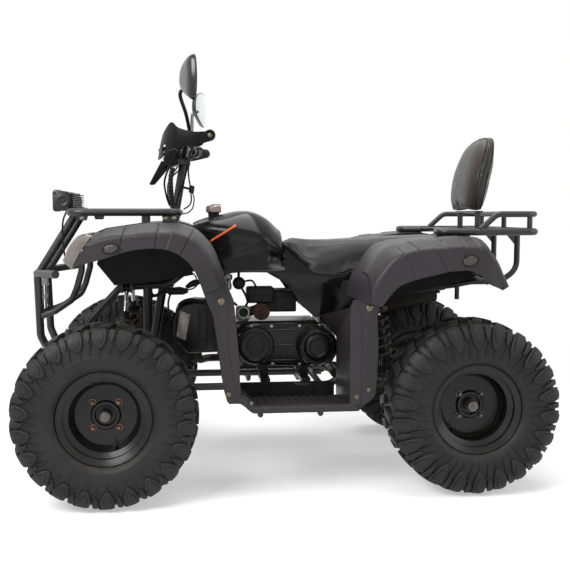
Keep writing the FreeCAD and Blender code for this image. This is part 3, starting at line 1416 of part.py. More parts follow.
def backrest():
    """Padded rest leaning back on the carrier's two posts."""
    low = S.rear_rack_height + 70
    sections = []
    # Height over the plate, front and rear places from the posts, half width
    for up, front, rear, half in ((0, -22, 10, 116), (11, -29, 15, 134), (50, -32, 23, 143),
                                  (110, -24, 37, 144), (170, -9, 51, 138), (222, 11, 60, 118),
                                  (248, 30, 64, 86), (258, 40, 62, 56)):
        z, front, rear = low + up, POST_X + front, POST_X + rear
        side = front + (rear - front) * 0.55
        sections.append([
            (front + 6, -half * 0.88, z), (front, 0, z), (front + 6, half * 0.88, z),
            (side, half, z), (rear, half * 0.93, z), (rear, -half * 0.93, z), (side, -half, z),
        ])
    keep("backrest", loft(sections))


def hitch_plate():
    """Tow plate under the tail with one hole for a hitch ball."""
    body = doc.addObject("PartDesign::Body", "hitch_plate_body")
    sketch = polygon_sketch(body, "XY_Plane", [(0, -40), (70, -26), (70, 26), (0, 40)])
    pad = body.newObject("PartDesign::Pad", "hitch_plate_pad")
    pad.Profile = sketch
    pad.Length = 8
    circle = body.newObject("Sketcher::SketchObject", "hitch_plate_spot")
    plane = next(p for p in body.Origin.OriginFeatures if p.Role == "XY_Plane")
    circle.AttachmentSupport = [(plane, "")]
    circle.MapMode = "FlatFace"
    circle.addGeometry(Part.Circle(V(44, 0, 0), V(0, 0, 1), 9.5))
    hole = body.newObject("PartDesign::Pocket", "hitch_plate_hole")
    hole.Profile = circle
    hole.Length = 20
    hole.Reversed = True
    body.Placement = FreeCAD.Placement(V(REAR_X + 150 + R - 1 + S.seat_gap, 0, TAIL_Z - 4),
                                       FreeCAD.Rotation())
    name_node("hitch_plate", body)


front_rack()
front_bumper()
lamp_bar()
rear_rack()
backrest()
hitch_plate()

doc.recompute()
for thing in doc.Objects:
    if "Invalid" in thing.State or "Error" in thing.State:
        raise RuntimeError(f"{thing.Label} failed: {thing.State}")

os.makedirs("parts", exist_ok=True)
faulty = [n for n, p in nodes.items() if p.Shape.isNull() or not p.Shape.isValid() or not p.Shape.Solids]
if faulty:
    raise RuntimeError(f"no valid solid: {faulty}")
for label, piece in nodes.items():
    piece.Shape.exportStep(f"parts/{label}.step")
print(len(nodes), "sub-parts written")
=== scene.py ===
"""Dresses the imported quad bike. Metres; the front is towards -X, the rider's left towards -Y, +Z is up."""

import json
import math

import bpy
from mathutils import Matrix, Vector

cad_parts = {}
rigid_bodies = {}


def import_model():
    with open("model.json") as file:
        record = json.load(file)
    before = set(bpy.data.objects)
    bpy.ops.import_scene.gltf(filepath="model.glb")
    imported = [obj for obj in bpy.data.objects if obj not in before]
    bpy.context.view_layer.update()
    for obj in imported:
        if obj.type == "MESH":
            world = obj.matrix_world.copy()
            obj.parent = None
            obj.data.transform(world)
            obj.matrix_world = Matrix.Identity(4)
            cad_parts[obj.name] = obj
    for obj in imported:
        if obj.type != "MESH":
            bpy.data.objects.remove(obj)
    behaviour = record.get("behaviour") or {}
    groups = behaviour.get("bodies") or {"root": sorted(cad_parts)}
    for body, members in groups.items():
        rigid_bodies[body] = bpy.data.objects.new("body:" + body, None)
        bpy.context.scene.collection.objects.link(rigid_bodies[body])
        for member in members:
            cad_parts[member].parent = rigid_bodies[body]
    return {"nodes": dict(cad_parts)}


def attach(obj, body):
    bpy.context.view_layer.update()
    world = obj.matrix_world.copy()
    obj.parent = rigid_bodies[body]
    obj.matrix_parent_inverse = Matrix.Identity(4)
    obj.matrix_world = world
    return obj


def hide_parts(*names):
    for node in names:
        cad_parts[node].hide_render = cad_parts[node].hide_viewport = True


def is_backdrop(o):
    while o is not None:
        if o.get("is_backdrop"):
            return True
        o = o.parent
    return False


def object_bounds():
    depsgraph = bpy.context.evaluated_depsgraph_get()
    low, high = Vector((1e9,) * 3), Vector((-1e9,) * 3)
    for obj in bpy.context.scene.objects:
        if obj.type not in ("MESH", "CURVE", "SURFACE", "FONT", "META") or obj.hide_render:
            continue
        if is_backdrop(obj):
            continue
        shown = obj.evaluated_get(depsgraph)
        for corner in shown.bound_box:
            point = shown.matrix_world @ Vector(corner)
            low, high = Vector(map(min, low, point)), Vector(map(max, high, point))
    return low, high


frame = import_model()
cad_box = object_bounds()
nodes = frame["nodes"]
scene = bpy.context.scene
bpy.ops.object.select_all(action="DESELECT")

# Frame, arms and knuckles. Welded steel tube under black powder coat, grimy
# low down, where mud and road dust dull it between washes.


def finish(name, colour, roughness, cloud=7.0, mottle=0.22, grain=(700.0, 0.00025), dust=0.0,
           grime=0.0, metal=0.0, coat=0.0, dust_colour=(0.16, 0.148, 0.135), shine=0.14):
    """A coated or moulded surface: clouded colour, patchy sheen, fine relief, dust and low grime."""
    material = bpy.data.materials.new(name)
    material.use_nodes = True
    tree = material.node_tree
    shader = tree.nodes["Principled BSDF"]
    place = tree.nodes.new("ShaderNodeTexCoord")

    def clouds(scale, detail=5.0, rough=0.6):
        noise = tree.nodes.new("ShaderNodeTexNoise")
        noise.inputs["Scale"].default_value = scale
        noise.inputs["Detail"].default_value = detail
        noise.inputs["Roughness"].default_value = rough
        tree.links.new(place.outputs["Object"], noise.inputs["Vector"])
        return noise.outputs[0]

    def ranged(value, low, high, to_low, to_high):
        step = tree.nodes.new("ShaderNodeMapRange")
        step.inputs["From Min"].default_value = low
        step.inputs["From Max"].default_value = high
        step.inputs["To Min"].default_value = to_low
        step.inputs["To Max"].default_value = to_high
        tree.links.new(value, step.inputs["Value"])
        return step.outputs[0]

    def blended(share, below, above):
        mix = tree.nodes.new("ShaderNodeMix")
        mix.data_type = "RGBA"
        tree.links.new(share, mix.inputs[0])
        for socket, value in ((mix.inputs[6], below), (mix.inputs[7], above)):
            if isinstance(value, tuple):
                socket.default_value = (*value, 1)
            else:
                tree.links.new(value, socket)
        return mix.outputs[2]

    def times(one, other):
        step = tree.nodes.new("ShaderNodeMath")
        step.operation = "MULTIPLY"
        step.use_clamp = True
        tree.links.new(one, step.inputs[0])
        tree.links.new(other, step.inputs[1])
        return step.outputs[0]

    wide = clouds(cloud)
    base = blended(
        ranged(wide, 0.3, 0.7, 0, 1), tuple(c * (1 - mottle) for c in colour),
        tuple(c * (1 + mottle) for c in colour)
    )
    gloss = ranged(clouds(cloud * 4.3, 6, 0.7), 0.3, 0.75, roughness - 0.06, roughness + 0.1)
    if dust or grime:
        geometry = tree.nodes.new("ShaderNodeNewGeometry")
        apart = tree.nodes.new("ShaderNodeSeparateXYZ")
        tree.links.new(geometry.outputs["Normal"], apart.inputs[0])
        speck = ranged(clouds(55, 8, 0.75), 0.38, 0.68, 0.25, 1.0)
        if dust:
            lying = times(ranged(apart.outputs["Z"], 0.1, 0.95, 0.0, dust), speck)
            base = blended(lying, base, dust_colour)
            rougher = tree.nodes.new("ShaderNodeMath")
            rougher.operation = "ADD"
            rougher.use_clamp = True
            tree.links.new(gloss, rougher.inputs[0])
            tree.links.new(ranged(lying, 0, 1, 0, 0.5), rougher.inputs[1])
            gloss = rougher.outputs[0]
        if grime:
            spot = tree.nodes.new("ShaderNodeSeparateXYZ")
            tree.links.new(place.outputs["Object"], spot.inputs[0])
            low = times(ranged(spot.outputs["Z"], 0.62, 0.12, 0.0, grime), speck)
            base = blended(low, base, dust_colour)
    tree.links.new(base, shader.inputs["Base Color"])
    tree.links.new(gloss, shader.inputs["Roughness"])
    relief = tree.nodes.new("ShaderNodeBump")
    relief.inputs["Strength"].default_value = 0.6
    relief.inputs["Distance"].default_value = grain[1]
    tree.links.new(clouds(grain[0], 3), relief.inputs["Height"])
    tree.links.new(relief.outputs[0], shader.inputs["Normal"])
    shader.inputs["Metallic"].default_value = metal
    shader.inputs["Specular IOR Level"].default_value = shine
    shader.inputs["Coat Weight"].default_value = coat
    shader.inputs["Coat Roughness"].default_value = 0.06
    return material


def dress(material, *names):
    """Gives CAD nodes their finish."""
    for name in names:
        nodes[name].data.materials.clear()
        nodes[name].data.materials.append(material)


frame_coat = finish("black_powder_coat", (0.01, 0.01, 0.011), 0.34, grime=0.2, shine=0.35,
                    grain=(420.0, 0.0003))
dress(frame_coat, "frame", "front_arms", "swingarm", "footrest_stays", "knuckle_left", "knuckle_right")
dress(frame_coat, "tie_rod_left", "tie_rod_right", "hitch_plate", "steering_column")

# Tyres. Knobbly rubber moulded in one piece with the casing: shield-shaped blocks
# over both shoulders, slanted bars along the middle, dusty and dull from the road.


def alone(piece):
    """Makes one piece the only selected and active one."""
    bpy.ops.object.select_all(action="DESELECT")
    piece.select_set(True)
    bpy.context.view_layer.objects.active = piece
    return piece


def bent_grid(name, across, along, place):
    """A grid whose points are set one by one: place takes two shares from 0 to 1."""
    bpy.ops.object.select_all(action="DESELECT")
    bpy.ops.mesh.primitive_grid_add(x_subdivisions=across, y_subdivisions=along, size=1)
    piece = bpy.context.object
    piece.name = name
    piece.data.name = name
    for point in piece.data.vertices:
        point.co = place(point.co.x + 0.5, point.co.y + 0.5)
    return piece


def worked(piece, kind, **settings):
    """Adds one modifier and applies it."""
    alone(piece)
    step = piece.modifiers.new(kind.lower(), kind)
    for key, value in settings.items():
        setattr(step, key, value)
    bpy.ops.object.modifier_apply(modifier=step.name)
    return piece


def sewn(piece):
    """Merges doubled points and turns all faces outwards."""
    alone(piece)
    bpy.ops.object.mode_set(mode="EDIT")
    bpy.ops.mesh.select_all(action="SELECT")
    bpy.ops.mesh.remove_doubles(threshold=0.00004)
    bpy.ops.mesh.normals_make_consistent(inside=False)
    bpy.ops.object.mode_set(mode="OBJECT")
    return piece


def capped(piece):
    """Sews a tube-like grid and closes its ends."""
    sewn(piece)
    bpy.ops.object.mode_set(mode="EDIT")
    bpy.ops.mesh.select_all(action="DESELECT")
    bpy.ops.mesh.select_non_manifold()
    bpy.ops.mesh.fill_holes(sides=0)
    bpy.ops.mesh.select_all(action="SELECT")
    bpy.ops.mesh.normals_make_consistent(inside=False)
    bpy.ops.object.mode_set(mode="OBJECT")
    return piece


def softened(piece, width, segments, degrees):
    """Rounds the edges that are sharper than an angle."""
    return worked(piece, "BEVEL", width=width, segments=segments, limit_method="ANGLE",
                  angle_limit=math.radians(degrees))


def smoothed(piece, degrees=35):
    """Shades a piece smooth, but for edges sharper than an angle."""
    alone(piece)
    bpy.ops.object.shade_smooth_by_angle(angle=math.radians(degrees))
    return piece


def joined(name, pieces):
    """Joins pieces into one mesh."""
    bpy.ops.object.select_all(action="DESELECT")
    for piece in pieces:
        piece.select_set(True)
    bpy.context.view_layer.objects.active = pieces[0]
    bpy.ops.object.join()
    whole = bpy.context.object
    whole.name = name
    whole.data.name = name
    return whole


def copied(piece, name, motion):
    """A copy with its own mesh, moved in its mesh."""
    twin = piece.copy()
    twin.data = piece.data.copy()
    twin.name = name
    twin.data.name = name
    scene.collection.objects.link(twin)
    twin.data.transform(motion)
    if motion.determinant() < 0:
        twin.data.flip_normals()
    return twin


def eased(rows, share, closed=False):
    """A point on a smooth curve through rows of numbers, at a share of its length in rows."""
    count = len(rows) if closed else len(rows) - 1
    at = min(max(share, 0.0), 1.0) * count
    i = min(int(at), count - 1)
    t = at - i
    if closed:
        four = [rows[(i + k) % len(rows)] for k in (-1, 0, 1, 2)]
    else:
        four = [rows[min(max(i + k, 0), len(rows) - 1)] for k in (-1, 0, 1, 2)]
    return tuple(
        0.5 * (2 * b + (c - a) * t + (2 * a - 5 * b + 4 * c - d) * t * t + (3 * b - a - 3 * c + d) * t ** 3)
        for a, b, c, d in zip(*four)
    )


def rounded_bar(name, path, radius, rings, around=10):
    """A round bar along a smooth path; radius is a number or a list along the path."""
    def spot(share):
        return Vector(eased(path, share))

    def place(u, v):
        here = spot(v)
        ahead = spot(min(v + 0.004, 1.0)) - spot(max(v - 0.004, 0.0))
        ahead.normalize()
        side = ahead.cross(Vector((0.13, 0.31, 0.94)))
        if side.length < 0.05:
            side = ahead.cross(Vector((1, 0, 0)))
        side.normalize()
        up = ahead.cross(side)
        thick = radius if isinstance(radius, float) else eased([(r,) for r in radius], v)[0]
        angle = math.tau * u
        return here + (side * math.cos(angle) + up * math.sin(angle)) * thick

    return smoothed(capped(bent_grid(name, around, rings, place)))


def mm(*rows):
    """Rows of sizes written in millimetres, as on a drawing, turned to metres."""
    return [tuple(size / 1000 for size in row) for row in rows]


FRONT_CASING = mm((0, 269), (42, 267), (62, 258), (73, 241), (78.5, 218), (82, 195),
                  (83.5, 175), (80.5, 160), (72.5, 148.5), (66, 143.7))
REAR_CASING = mm((0, 265), (62, 263.5), (89, 256), (101, 240), (107.5, 217), (111, 195),
                 (112.5, 175), (110.5, 160), (104.5, 148.5), (99, 143.7))
BLOCKS_ROUND, BLOCK_DEPTH = 22, 0.0135
CASING_STEPS, STEPS_ROUND = 45, 132
WALL_RINGS, RING_RISE, RING_WIDTH = (0.022, 0.05), 0.0012, 0.0022


def tyre(name, casing, middle, flange):
    """One tyre round its axle: casing turned in a lathe, blocks laid along it."""
    lengths = [0.0]
    for (a, r), (b, q) in zip(casing, casing[1:]):
        lengths.append(lengths[-1] + math.hypot(b - a, q - r))

    def on_casing(along, rise):
        share = next(i for i in range(len(lengths) - 1) if along <= lengths[i + 1] + 1e-9)
        t = (along - lengths[share]) / (lengths[share + 1] - lengths[share])
        here = eased(casing, (share + t) / (len(casing) - 1))
        ahead = eased(casing, min((share + t) / (len(casing) - 1) + 0.01, 1))
        back = eased(casing, max((share + t) / (len(casing) - 1) - 0.01, 0))
        run = Vector((ahead[0] - back[0], ahead[1] - back[1])).normalized()
        return here[0] - run.y * rise, here[1] + run.x * rise

    def spun(a, r, angle):
        return Vector((middle[0] + r * math.cos(angle), middle[1] + a, middle[2] + r * math.sin(angle)))

    # Casing with two fine raised rings on the wall, closed over the rim's well
    half = []
    for i in range(CASING_STEPS + 1):
        along = lengths[-1] * i / CASING_STEPS
        from_rim = along - lengths[-1]
        bump = RING_RISE * sum(math.exp(-((from_rim + away) / RING_WIDTH) ** 2) for away in WALL_RINGS)
        half.append(on_casing(along, bump))
    inner = [(flange - 0.0046, 0.1437), (flange - 0.0084, 0.1284)]
    outline = [(-a, r) for a, r in (half + inner)[::-1]] + (half + inner)[1:]
    count = len(outline)

    def casing_point(u, v):
        a, r = outline[int(round(u * count)) % count]
        return spun(a, r, math.tau * v)

    pieces = [smoothed(sewn(bent_grid(name, count, STEPS_ROUND, casing_point)), 40)]

    wide = lengths[-1]
    tread = lengths[2]
    pitch = math.tau / BLOCKS_ROUND
    bar = [(0.004, 0.02, 0.4, 0.0128), (tread * 0.32, 0.12, 0.5, 0.0128),
           (tread * 0.72, 0.26, 0.66, 0.0122)]
    shield = [
        (tread * 0.8, 0.48, 0.7, 0.012), (tread * 0.92, 0.34, 0.86, 0.0118),
        (tread * 1.22, 0.31, 0.92, 0.0108), (tread * 1.5, 0.37, 0.87, 0.0096),
        (tread * 1.74, 0.52, 0.72, 0.0082),
    ]
    boss = [
        (tread * 0.96, 0.53, 0.69, 0.0142), (tread * 1.04, 0.45, 0.77, 0.014),
        (tread * 1.22, 0.42, 0.81, 0.0132), (tread * 1.38, 0.47, 0.76, 0.0122),
        (tread * 1.52, 0.57, 0.67, 0.011),
    ]
    wedge = [(tread * 1.74, 0.575, 0.655, 0.005), (tread * 2.0, 0.59, 0.64, 0.0034),
             (tread * 2.25, 0.61, 0.62, 0.001)]
    edge = [(tread * 0.84, 1.05, 1.17, 0.0112), (tread * 0.98, 0.99, 1.23, 0.0105),
            (tread * 1.24, 0.99, 1.22, 0.0088), (tread * 1.46, 1.06, 1.14, 0.0066)]
    fin = [(tread * 1.42, 0.96, 1.02, 0.006), (tread * 1.62, 1.03, 1.085, 0.0056),
           (tread * 1.86, 1.1, 1.15, 0.0048), (tread * 2.02, 1.12, 1.14, 0.002)]
    for side in (-1, 1):
        shift = 0.0 if side < 0 else 0.5
        for rows, cells in ((bar, (3, 4)), (shield, (3, 4)), (boss, (2, 4)), (wedge, (1, 2)),
                            (edge, (2, 3)), (fin, (1, 3))):
            def block_point(u, v, rows=rows, side=side, shift=shift):
                k = min(int(v * (len(rows) - 1)), len(rows) - 2)
                t = v * (len(rows) - 1) - k
                along, low, high, rise = ((1 - t) * p + t * q for p, q in zip(rows[k], rows[k + 1]))
                a, r = on_casing(min(along, wide), rise)
                return spun(side * a, r, pitch * (low + (high - low) * u + shift))

            block = bent_grid(name + "_block", *cells, block_point)
            if side > 0:
                block.data.flip_normals()
            worked(block, "SOLIDIFY", thickness=BLOCK_DEPTH, offset=-1.0)
            sewn(block)
            if rows in (bar, shield, edge):
                softened(block, 0.0016, 1, 40)
            smoothed(block, 30)
            to_axle = Matrix.Translation(middle)
            for k in range(BLOCKS_ROUND):
                turn = to_axle @ Matrix.Rotation(pitch * k, 4, "Y") @ to_axle.inverted()
                pieces.append(copied(block, name + "_block", turn))
            bpy.data.objects.remove(block)
    return joined(name, pieces)


tread_rubber = finish("dusty_tyre_rubber", (0.0125, 0.0118, 0.0118), 0.5, cloud=16, mottle=0.3,
                      grain=(260.0, 0.0006), dust=0.13, grime=0.03,
                      dust_colour=(0.13, 0.122, 0.115), shine=0.24)
front_x, rear_x, front_z, rear_z = -0.572, 0.576, 0.282, 0.278
front_tyre = tyre("front_tyre_left_tread", FRONT_CASING, (front_x, -0.444, front_z), 0.064)
rear_tyre = tyre("rear_tyre_left_tread", REAR_CASING, (rear_x, -0.3825, rear_z), 0.097)
for near, name, shift in ((front_tyre, "front_tyre_right_tread", 0.888),
                          (rear_tyre, "rear_tyre_right_tread", 0.765)):
    copied(near, name, Matrix.Translation((0, shift, 0)))
for axle, side, body in (
    ("front", "left", "front_wheel_l"), ("front", "right", "front_wheel_r"),
    ("rear", "left", "rear_wheels"), ("rear", "right", "rear_wheels"),
):
    tread = bpy.data.objects[f"{axle}_tyre_{side}_tread"]
    tread.data.materials.clear()
    tread.data.materials.append(tread_rubber)
    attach(tread, body)
    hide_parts(f"{axle}_tyre_{side}")
dress(tread_rubber, "front_tyre_left", "front_tyre_right", "rear_tyre_left", "rear_tyre_right")

# Wheels. Pressed steel rims in satin black with a rolled lip, each held by four
# flanged nuts, copper-plated in front and bare at the rear, with a rubber valve in its dish.


def washer(name, outline, middle, side, steps=72):
    """A ring turned in a lathe from a closed outline of (radius, place outwards) pairs."""
    count = len(outline)

    def place(u, v):
        r, a = outline[int(round(u * count)) % count]
        angle = math.tau * v
        return Vector((middle[0] + r * math.cos(angle), middle[1] + side * a,
                       middle[2] + r * math.sin(angle)))

    return smoothed(sewn(bent_grid(name, count, steps, place)), 40)


def hex_nut(name, middle, across, height, side=1, axis="Y"):
    """A hexagon nut with its flange and the stud's end, standing out along one axis."""
    made = []
    turn = Matrix.Rotation(math.radians(-90 * side), 4, "X") if axis == "Y" else Matrix.Identity(4)
    for sides, radius, low, high in ((24, across * 0.68, 0, 0.22), (6, across * 0.57, 0.15, 0.8),
                                     (12, across * 0.3, 0.7, 1)):
        bpy.ops.object.select_all(action="DESELECT")
        bpy.ops.mesh.primitive_cylinder_add(vertices=sides, radius=radius, depth=height * (high - low))
        part = bpy.context.object
        part.data.transform(Matrix.Translation((0, 0, height * (low + high) / 2)))
        worked(part, "BEVEL", width=across * 0.05, segments=2, limit_method="ANGLE")
        part.data.transform(Matrix.Translation(middle) @ turn)
        part.location = (0, 0, 0)
        made.append(smoothed(part))
    return joined(name, made)


rim_coat = finish("satin_black_rim", (0.0036, 0.0034, 0.0034), 0.27, cloud=11, mottle=0.3, dust=0.02,
                  grime=0.02, shine=0.3, grain=(500.0, 0.00015))
copper_plate = finish("dull_copper_plate", (0.21, 0.105, 0.062), 0.42, cloud=60, mottle=0.35, metal=0.85)
hub_steel = finish("worn_hub_steel", (0.11, 0.105, 0.095), 0.36, cloud=60, mottle=0.35, metal=0.9)
valve_rubber = finish("valve_rubber", (0.018, 0.018, 0.018), 0.6)
dress(rim_coat, "front_rim_left", "front_rim_right", "rear_rims")
for axle, x, z, track, half, recess, circle, nose in (
    ("front", front_x, front_z, 0.444, 0.064, 0.065, 0.055, 0.034),
    ("rear", rear_x, rear_z, 0.3825, 0.097, 0.082, 0.05, 0.0),
):
    for word, side in (("left", -1), ("right", 1)):
        body = "rear_wheels" if axle == "rear" else f"front_wheel_{word[0]}"
        middle = (x, side * track, z)
        disc = half - recess
        steel = washer(f"{axle}_rim_lip_{word}", [
            (0.1375, half - 0.004), (0.1385, half + 0.0002), (0.1405, half + 0.0016),
            (0.1428, half + 0.0004), (0.1431, half - 0.002), (0.1405, half - 0.0006),
        ], middle, side, 120)
        step = washer(f"{axle}_rim_step_{word}", [
            (0.1075, 0.03), (0.1092, 0.0275), (0.1092, disc + 0.021), (0.1065, disc + 0.014),
            (0.0985, disc + 0.0045), (0.0975, disc + 0.0008), (0.094, disc + 0.0008),
            (0.0945, disc + 0.003), (0.101, disc + 0.01), (0.1045, disc + 0.019),
        ], middle, side, 96)
        collar = washer(f"{axle}_hub_collar_{word}", [
            (0.0305, disc), (0.0305, disc + 0.006), (0.033, disc + 0.009), (0.041, disc + 0.0085),
            (0.0435, disc + 0.005), (0.046, disc),
        ], middle, side, 72)
        made = [steel, step, collar]
        for piece in made:
            piece.data.materials.append(rim_coat)
        for k in range(4):
            angle = math.radians(45 + 90 * k)
            place = (x + circle * math.cos(angle), side * (track + disc - 0.0005),
                     z + circle * math.sin(angle))
            nut = hex_nut(f"{axle}_nut_{word}_{k}", place, 0.0165, 0.0165, side)
            nut.data.materials.append(copper_plate if axle == "front" else hub_steel)
            made.append(nut)
        nose_at = disc + nose
        hub = washer(f"{axle}_hub_end_{word}", [
            (0.0, nose_at + 0.004), (0.009, nose_at + 0.004), (0.0105, nose_at + 0.0025),
            (0.0105, nose_at - 0.002), (0.0158, nose_at - 0.002), (0.0172, nose_at - 0.0005),
            (0.0186, nose_at - 0.0012), (0.0192, nose_at - 0.004), (0.0192, disc + 0.001),
            (0.0, disc + 0.001),
        ], middle, side, 48)
        hub.data.materials.append(hub_steel if axle == "rear" else rim_coat)
        made.append(hub)
        pin = hex_nut(f"{axle}_axle_nut_{word}", (x, side * (track + nose_at - 0.001), z),
                      0.022, 0.009, side)
        pin.data.materials.append(hub_steel if axle == "front" else copper_plate)
        made.append(pin)
        aim = math.radians(-72 if axle == "front" else -128)
        foot = Vector((x + 0.1015 * math.cos(aim), side * (track + disc + 0.008),
                       z + 0.1015 * math.sin(aim)))
        tip = foot + Vector((-0.012 * math.cos(aim), side * 0.032, -0.012 * math.sin(aim)))
        path = [foot.lerp(tip, t) for t in (0, 0.3, 0.55, 0.6, 0.8, 1.0)]
        valve = rounded_bar(f"{axle}_valve_{word}", path,
                            [0.0062, 0.0052, 0.0044, 0.0033, 0.0035, 0.0028], 12)
        valve.data.materials.append(valve_rubber)
        made.append(valve)
        for piece in made:
            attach(piece, body)
dress(hub_steel, "rear_axle")

# Dampers. Coil springs in brown enamel round black bodies with chromed rods;
# each is bolted between two ears at its foot and its head.


def coil_spring(name, foot, head, low, high, radius, wire, turns):
    """A round-wire spring wound on the line from foot to head, its last coils closed."""
    foot, head = Vector(foot), Vector(head)
    axis = (head - foot).normalized()
    side = axis.cross(Vector((0, 0, 1)) if abs(axis.z) < 0.9 else Vector((1, 0, 0))).normalized()
    up = axis.cross(side)
    points = []
    for i in range(turns * 12 + 1):
        t = i / (turns * 12)
        rise = min(max((t - 0.06) / 0.88, 0.0), 1.0)
        angle = math.tau * turns * t
        at = foot + axis * (low + (high - low) * rise)
        points.append(at + side * math.cos(angle) * radius + up * math.sin(angle) * radius)
    return rounded_bar(name, points, wire, turns * 20, 8)


def turned_along(name, foot, head, outline, steps=28):
    """A body turned in a lathe about the line from foot to head; outline holds (along, radius)."""
    foot, head = Vector(foot), Vector(head)
    axis = (head - foot).normalized()
    side = axis.cross(Vector((0.2, 0.9, 0.1))).normalized()
    up = axis.cross(side)
    rows = [(outline[0][0], 0.0)] + list(outline) + [(outline[-1][0], 0.0)]

    def place(u, v):
        along, r = rows[int(round(u * (len(rows) - 1)))]
        angle = math.tau * v
        return foot + axis * along + (side * math.cos(angle) + up * math.sin(angle)) * r

    return smoothed(sewn(bent_grid(name, len(rows) - 1, steps, place)), 38)


spring_enamel = finish("brown_spring_enamel", (0.085, 0.055, 0.034), 0.3, cloud=40, mottle=0.3, grime=0.2)
damper_black = finish("damper_black", (0.01, 0.01, 0.011), 0.32, grime=0.12)
rod_chrome = finish("rod_chrome", (0.55, 0.55, 0.56), 0.16, metal=1.0, grain=(300.0, 0.00005))
dress(damper_black, "front_shocks", "rear_shock")
shocks = [(f"front_{w}", (-0.538, s * 0.3, 0.316), (-0.526, s * 0.15, 0.64), 0.0607, 0.239, 0.0256, 7)
          for w, s in (("left", -1), ("right", 1))]
shocks.append(("rear", (0.386, 0, 0.345), (0.346, 0, 0.64), 0.035, 0.199, 0.0306, 6))
for word, foot, head, low, high, radius, turns in shocks:
    spring = coil_spring(f"{word}_spring", foot, head, low, high, radius, 0.0047, turns)
    spring.data.materials.append(spring_enamel)
    length = (Vector(head) - Vector(foot)).length
    body = turned_along(f"{word}_damper_body", foot, head, [
        (low - 0.028, 0.0098), (low - 0.012, 0.0125), (low - 0.0105, radius + 0.003),
        (low - 0.0035, radius + 0.0035), (low - 0.0025, 0.0172), (low + 0.05, 0.0172),
        (low + 0.055, 0.0165), (high - 0.03, 0.0165), (high - 0.02, 0.013),
    ])
    body.data.materials.append(damper_black)
    cap = turned_along(f"{word}_damper_cap", foot, head, [
        (high + 0.0015, 0.012), (high + 0.002, radius + 0.0035), (high + 0.0105, radius + 0.0035),
        (high + 0.013, 0.016), (min(high + 0.035, length - 0.012), 0.0135),
    ])
    cap.data.materials.append(damper_black)
    stem = turned_along(f"{word}_damper_rod", foot, head, [(low + 0.04, 0.0072), (length - 0.008, 0.0072)])
    stem.data.materials.append(rod_chrome)
    for end, at in (("foot", foot), ("head", head)):
        side_axis = Vector((0.0125, 0, 0)) if word != "rear" else Vector((0, 0.0155, 0))
        eye = turned_along(f"{word}_damper_{end}", Vector(at) - side_axis, Vector(at) + side_axis, [
            (0.0, 0.0055), (0.0005, 0.0118), (side_axis.length * 2 - 0.0005, 0.0118),
            (side_axis.length * 2, 0.0055),
        ])
        eye.data.materials.append(damper_black)
        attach(eye, "chassis")
    for piece in (spring, body, cap, stem):
        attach(piece, "chassis")
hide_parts("front_shocks")
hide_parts("rear_shock")

# Engine. Black-painted aluminium cases bolted together; the belt cover on the left
# is a die casting with a vented dome over the rear pulley.


def plate(name, outline, low, high, round_by=0.002, segments=2, axis="Y"):
    """A flat piece cut to an outline and given its thickness along one axis, with rounded edges."""
    bpy.ops.object.select_all(action="DESELECT")
    bpy.ops.mesh.primitive_circle_add(vertices=len(outline), fill_type="NGON")
    piece = bpy.context.object
    piece.name = name
    piece.data.name = name
    for point, (a, b) in zip(piece.data.vertices, outline):
        point.co = {"Y": (a, low, b), "X": (low, a, b), "Z": (a, b, low)}[axis]
    bpy.ops.object.mode_set(mode="EDIT")
    bpy.ops.mesh.select_all(action="SELECT")
    run = {"Y": (0, high - low, 0), "X": (high - low, 0, 0), "Z": (0, 0, high - low)}[axis]
    bpy.ops.mesh.extrude_region_move(TRANSFORM_OT_translate={"value": run})
    bpy.ops.mesh.select_all(action="SELECT")
    bpy.ops.mesh.normals_make_consistent(inside=False)
    bpy.ops.object.mode_set(mode="OBJECT")
    if round_by:
        softened(piece, round_by, segments, 30)
    return smoothed(piece, 30)


def slab(name, near, far, low, high, *edge, axis="Y"):
    """A rectangular plate between two opposite corners."""
    outline = [near, (far[0], near[1]), far, (near[0], far[1])]
    return plate(name, outline, low, high, *edge, axis=axis)


engine_black = finish("engine_black", (0.0048, 0.0048, 0.005), 0.26, cloud=12, mottle=0.2,
                      grain=(260.0, 0.0003), dust=0.05, grime=0.04, shine=0.2)
raw_alloy = finish("raw_alloy", (0.2, 0.195, 0.19), 0.44, cloud=30, mottle=0.4, grain=(500.0, 0.0002),
                   metal=0.85, grime=0.3)
zinc = finish("zinc_bolt", (0.3, 0.28, 0.21), 0.34, metal=1.0, grime=0.2)
dress(engine_black, "engine_case", "drive_cover", "cylinder", "intake")

PULLEY_FRONT, PULLEY_REAR, COVER_FACE = (-0.096, 0.44), (0.113, 0.438), -0.1335


def around_pulleys(shrink):
    """The belt cover's outline, drawn in by some amount."""
    points = []
    for (cx, cz), radius, start in ((PULLEY_FRONT, 0.069, 90), (PULLEY_REAR, 0.074, 270)):
        for i in range(17):
            angle = math.radians(start + 180 * i / 16)
            points.append((cx + (radius - shrink) * math.cos(angle),
                           cz + (radius - shrink) * math.sin(angle)))
    return points


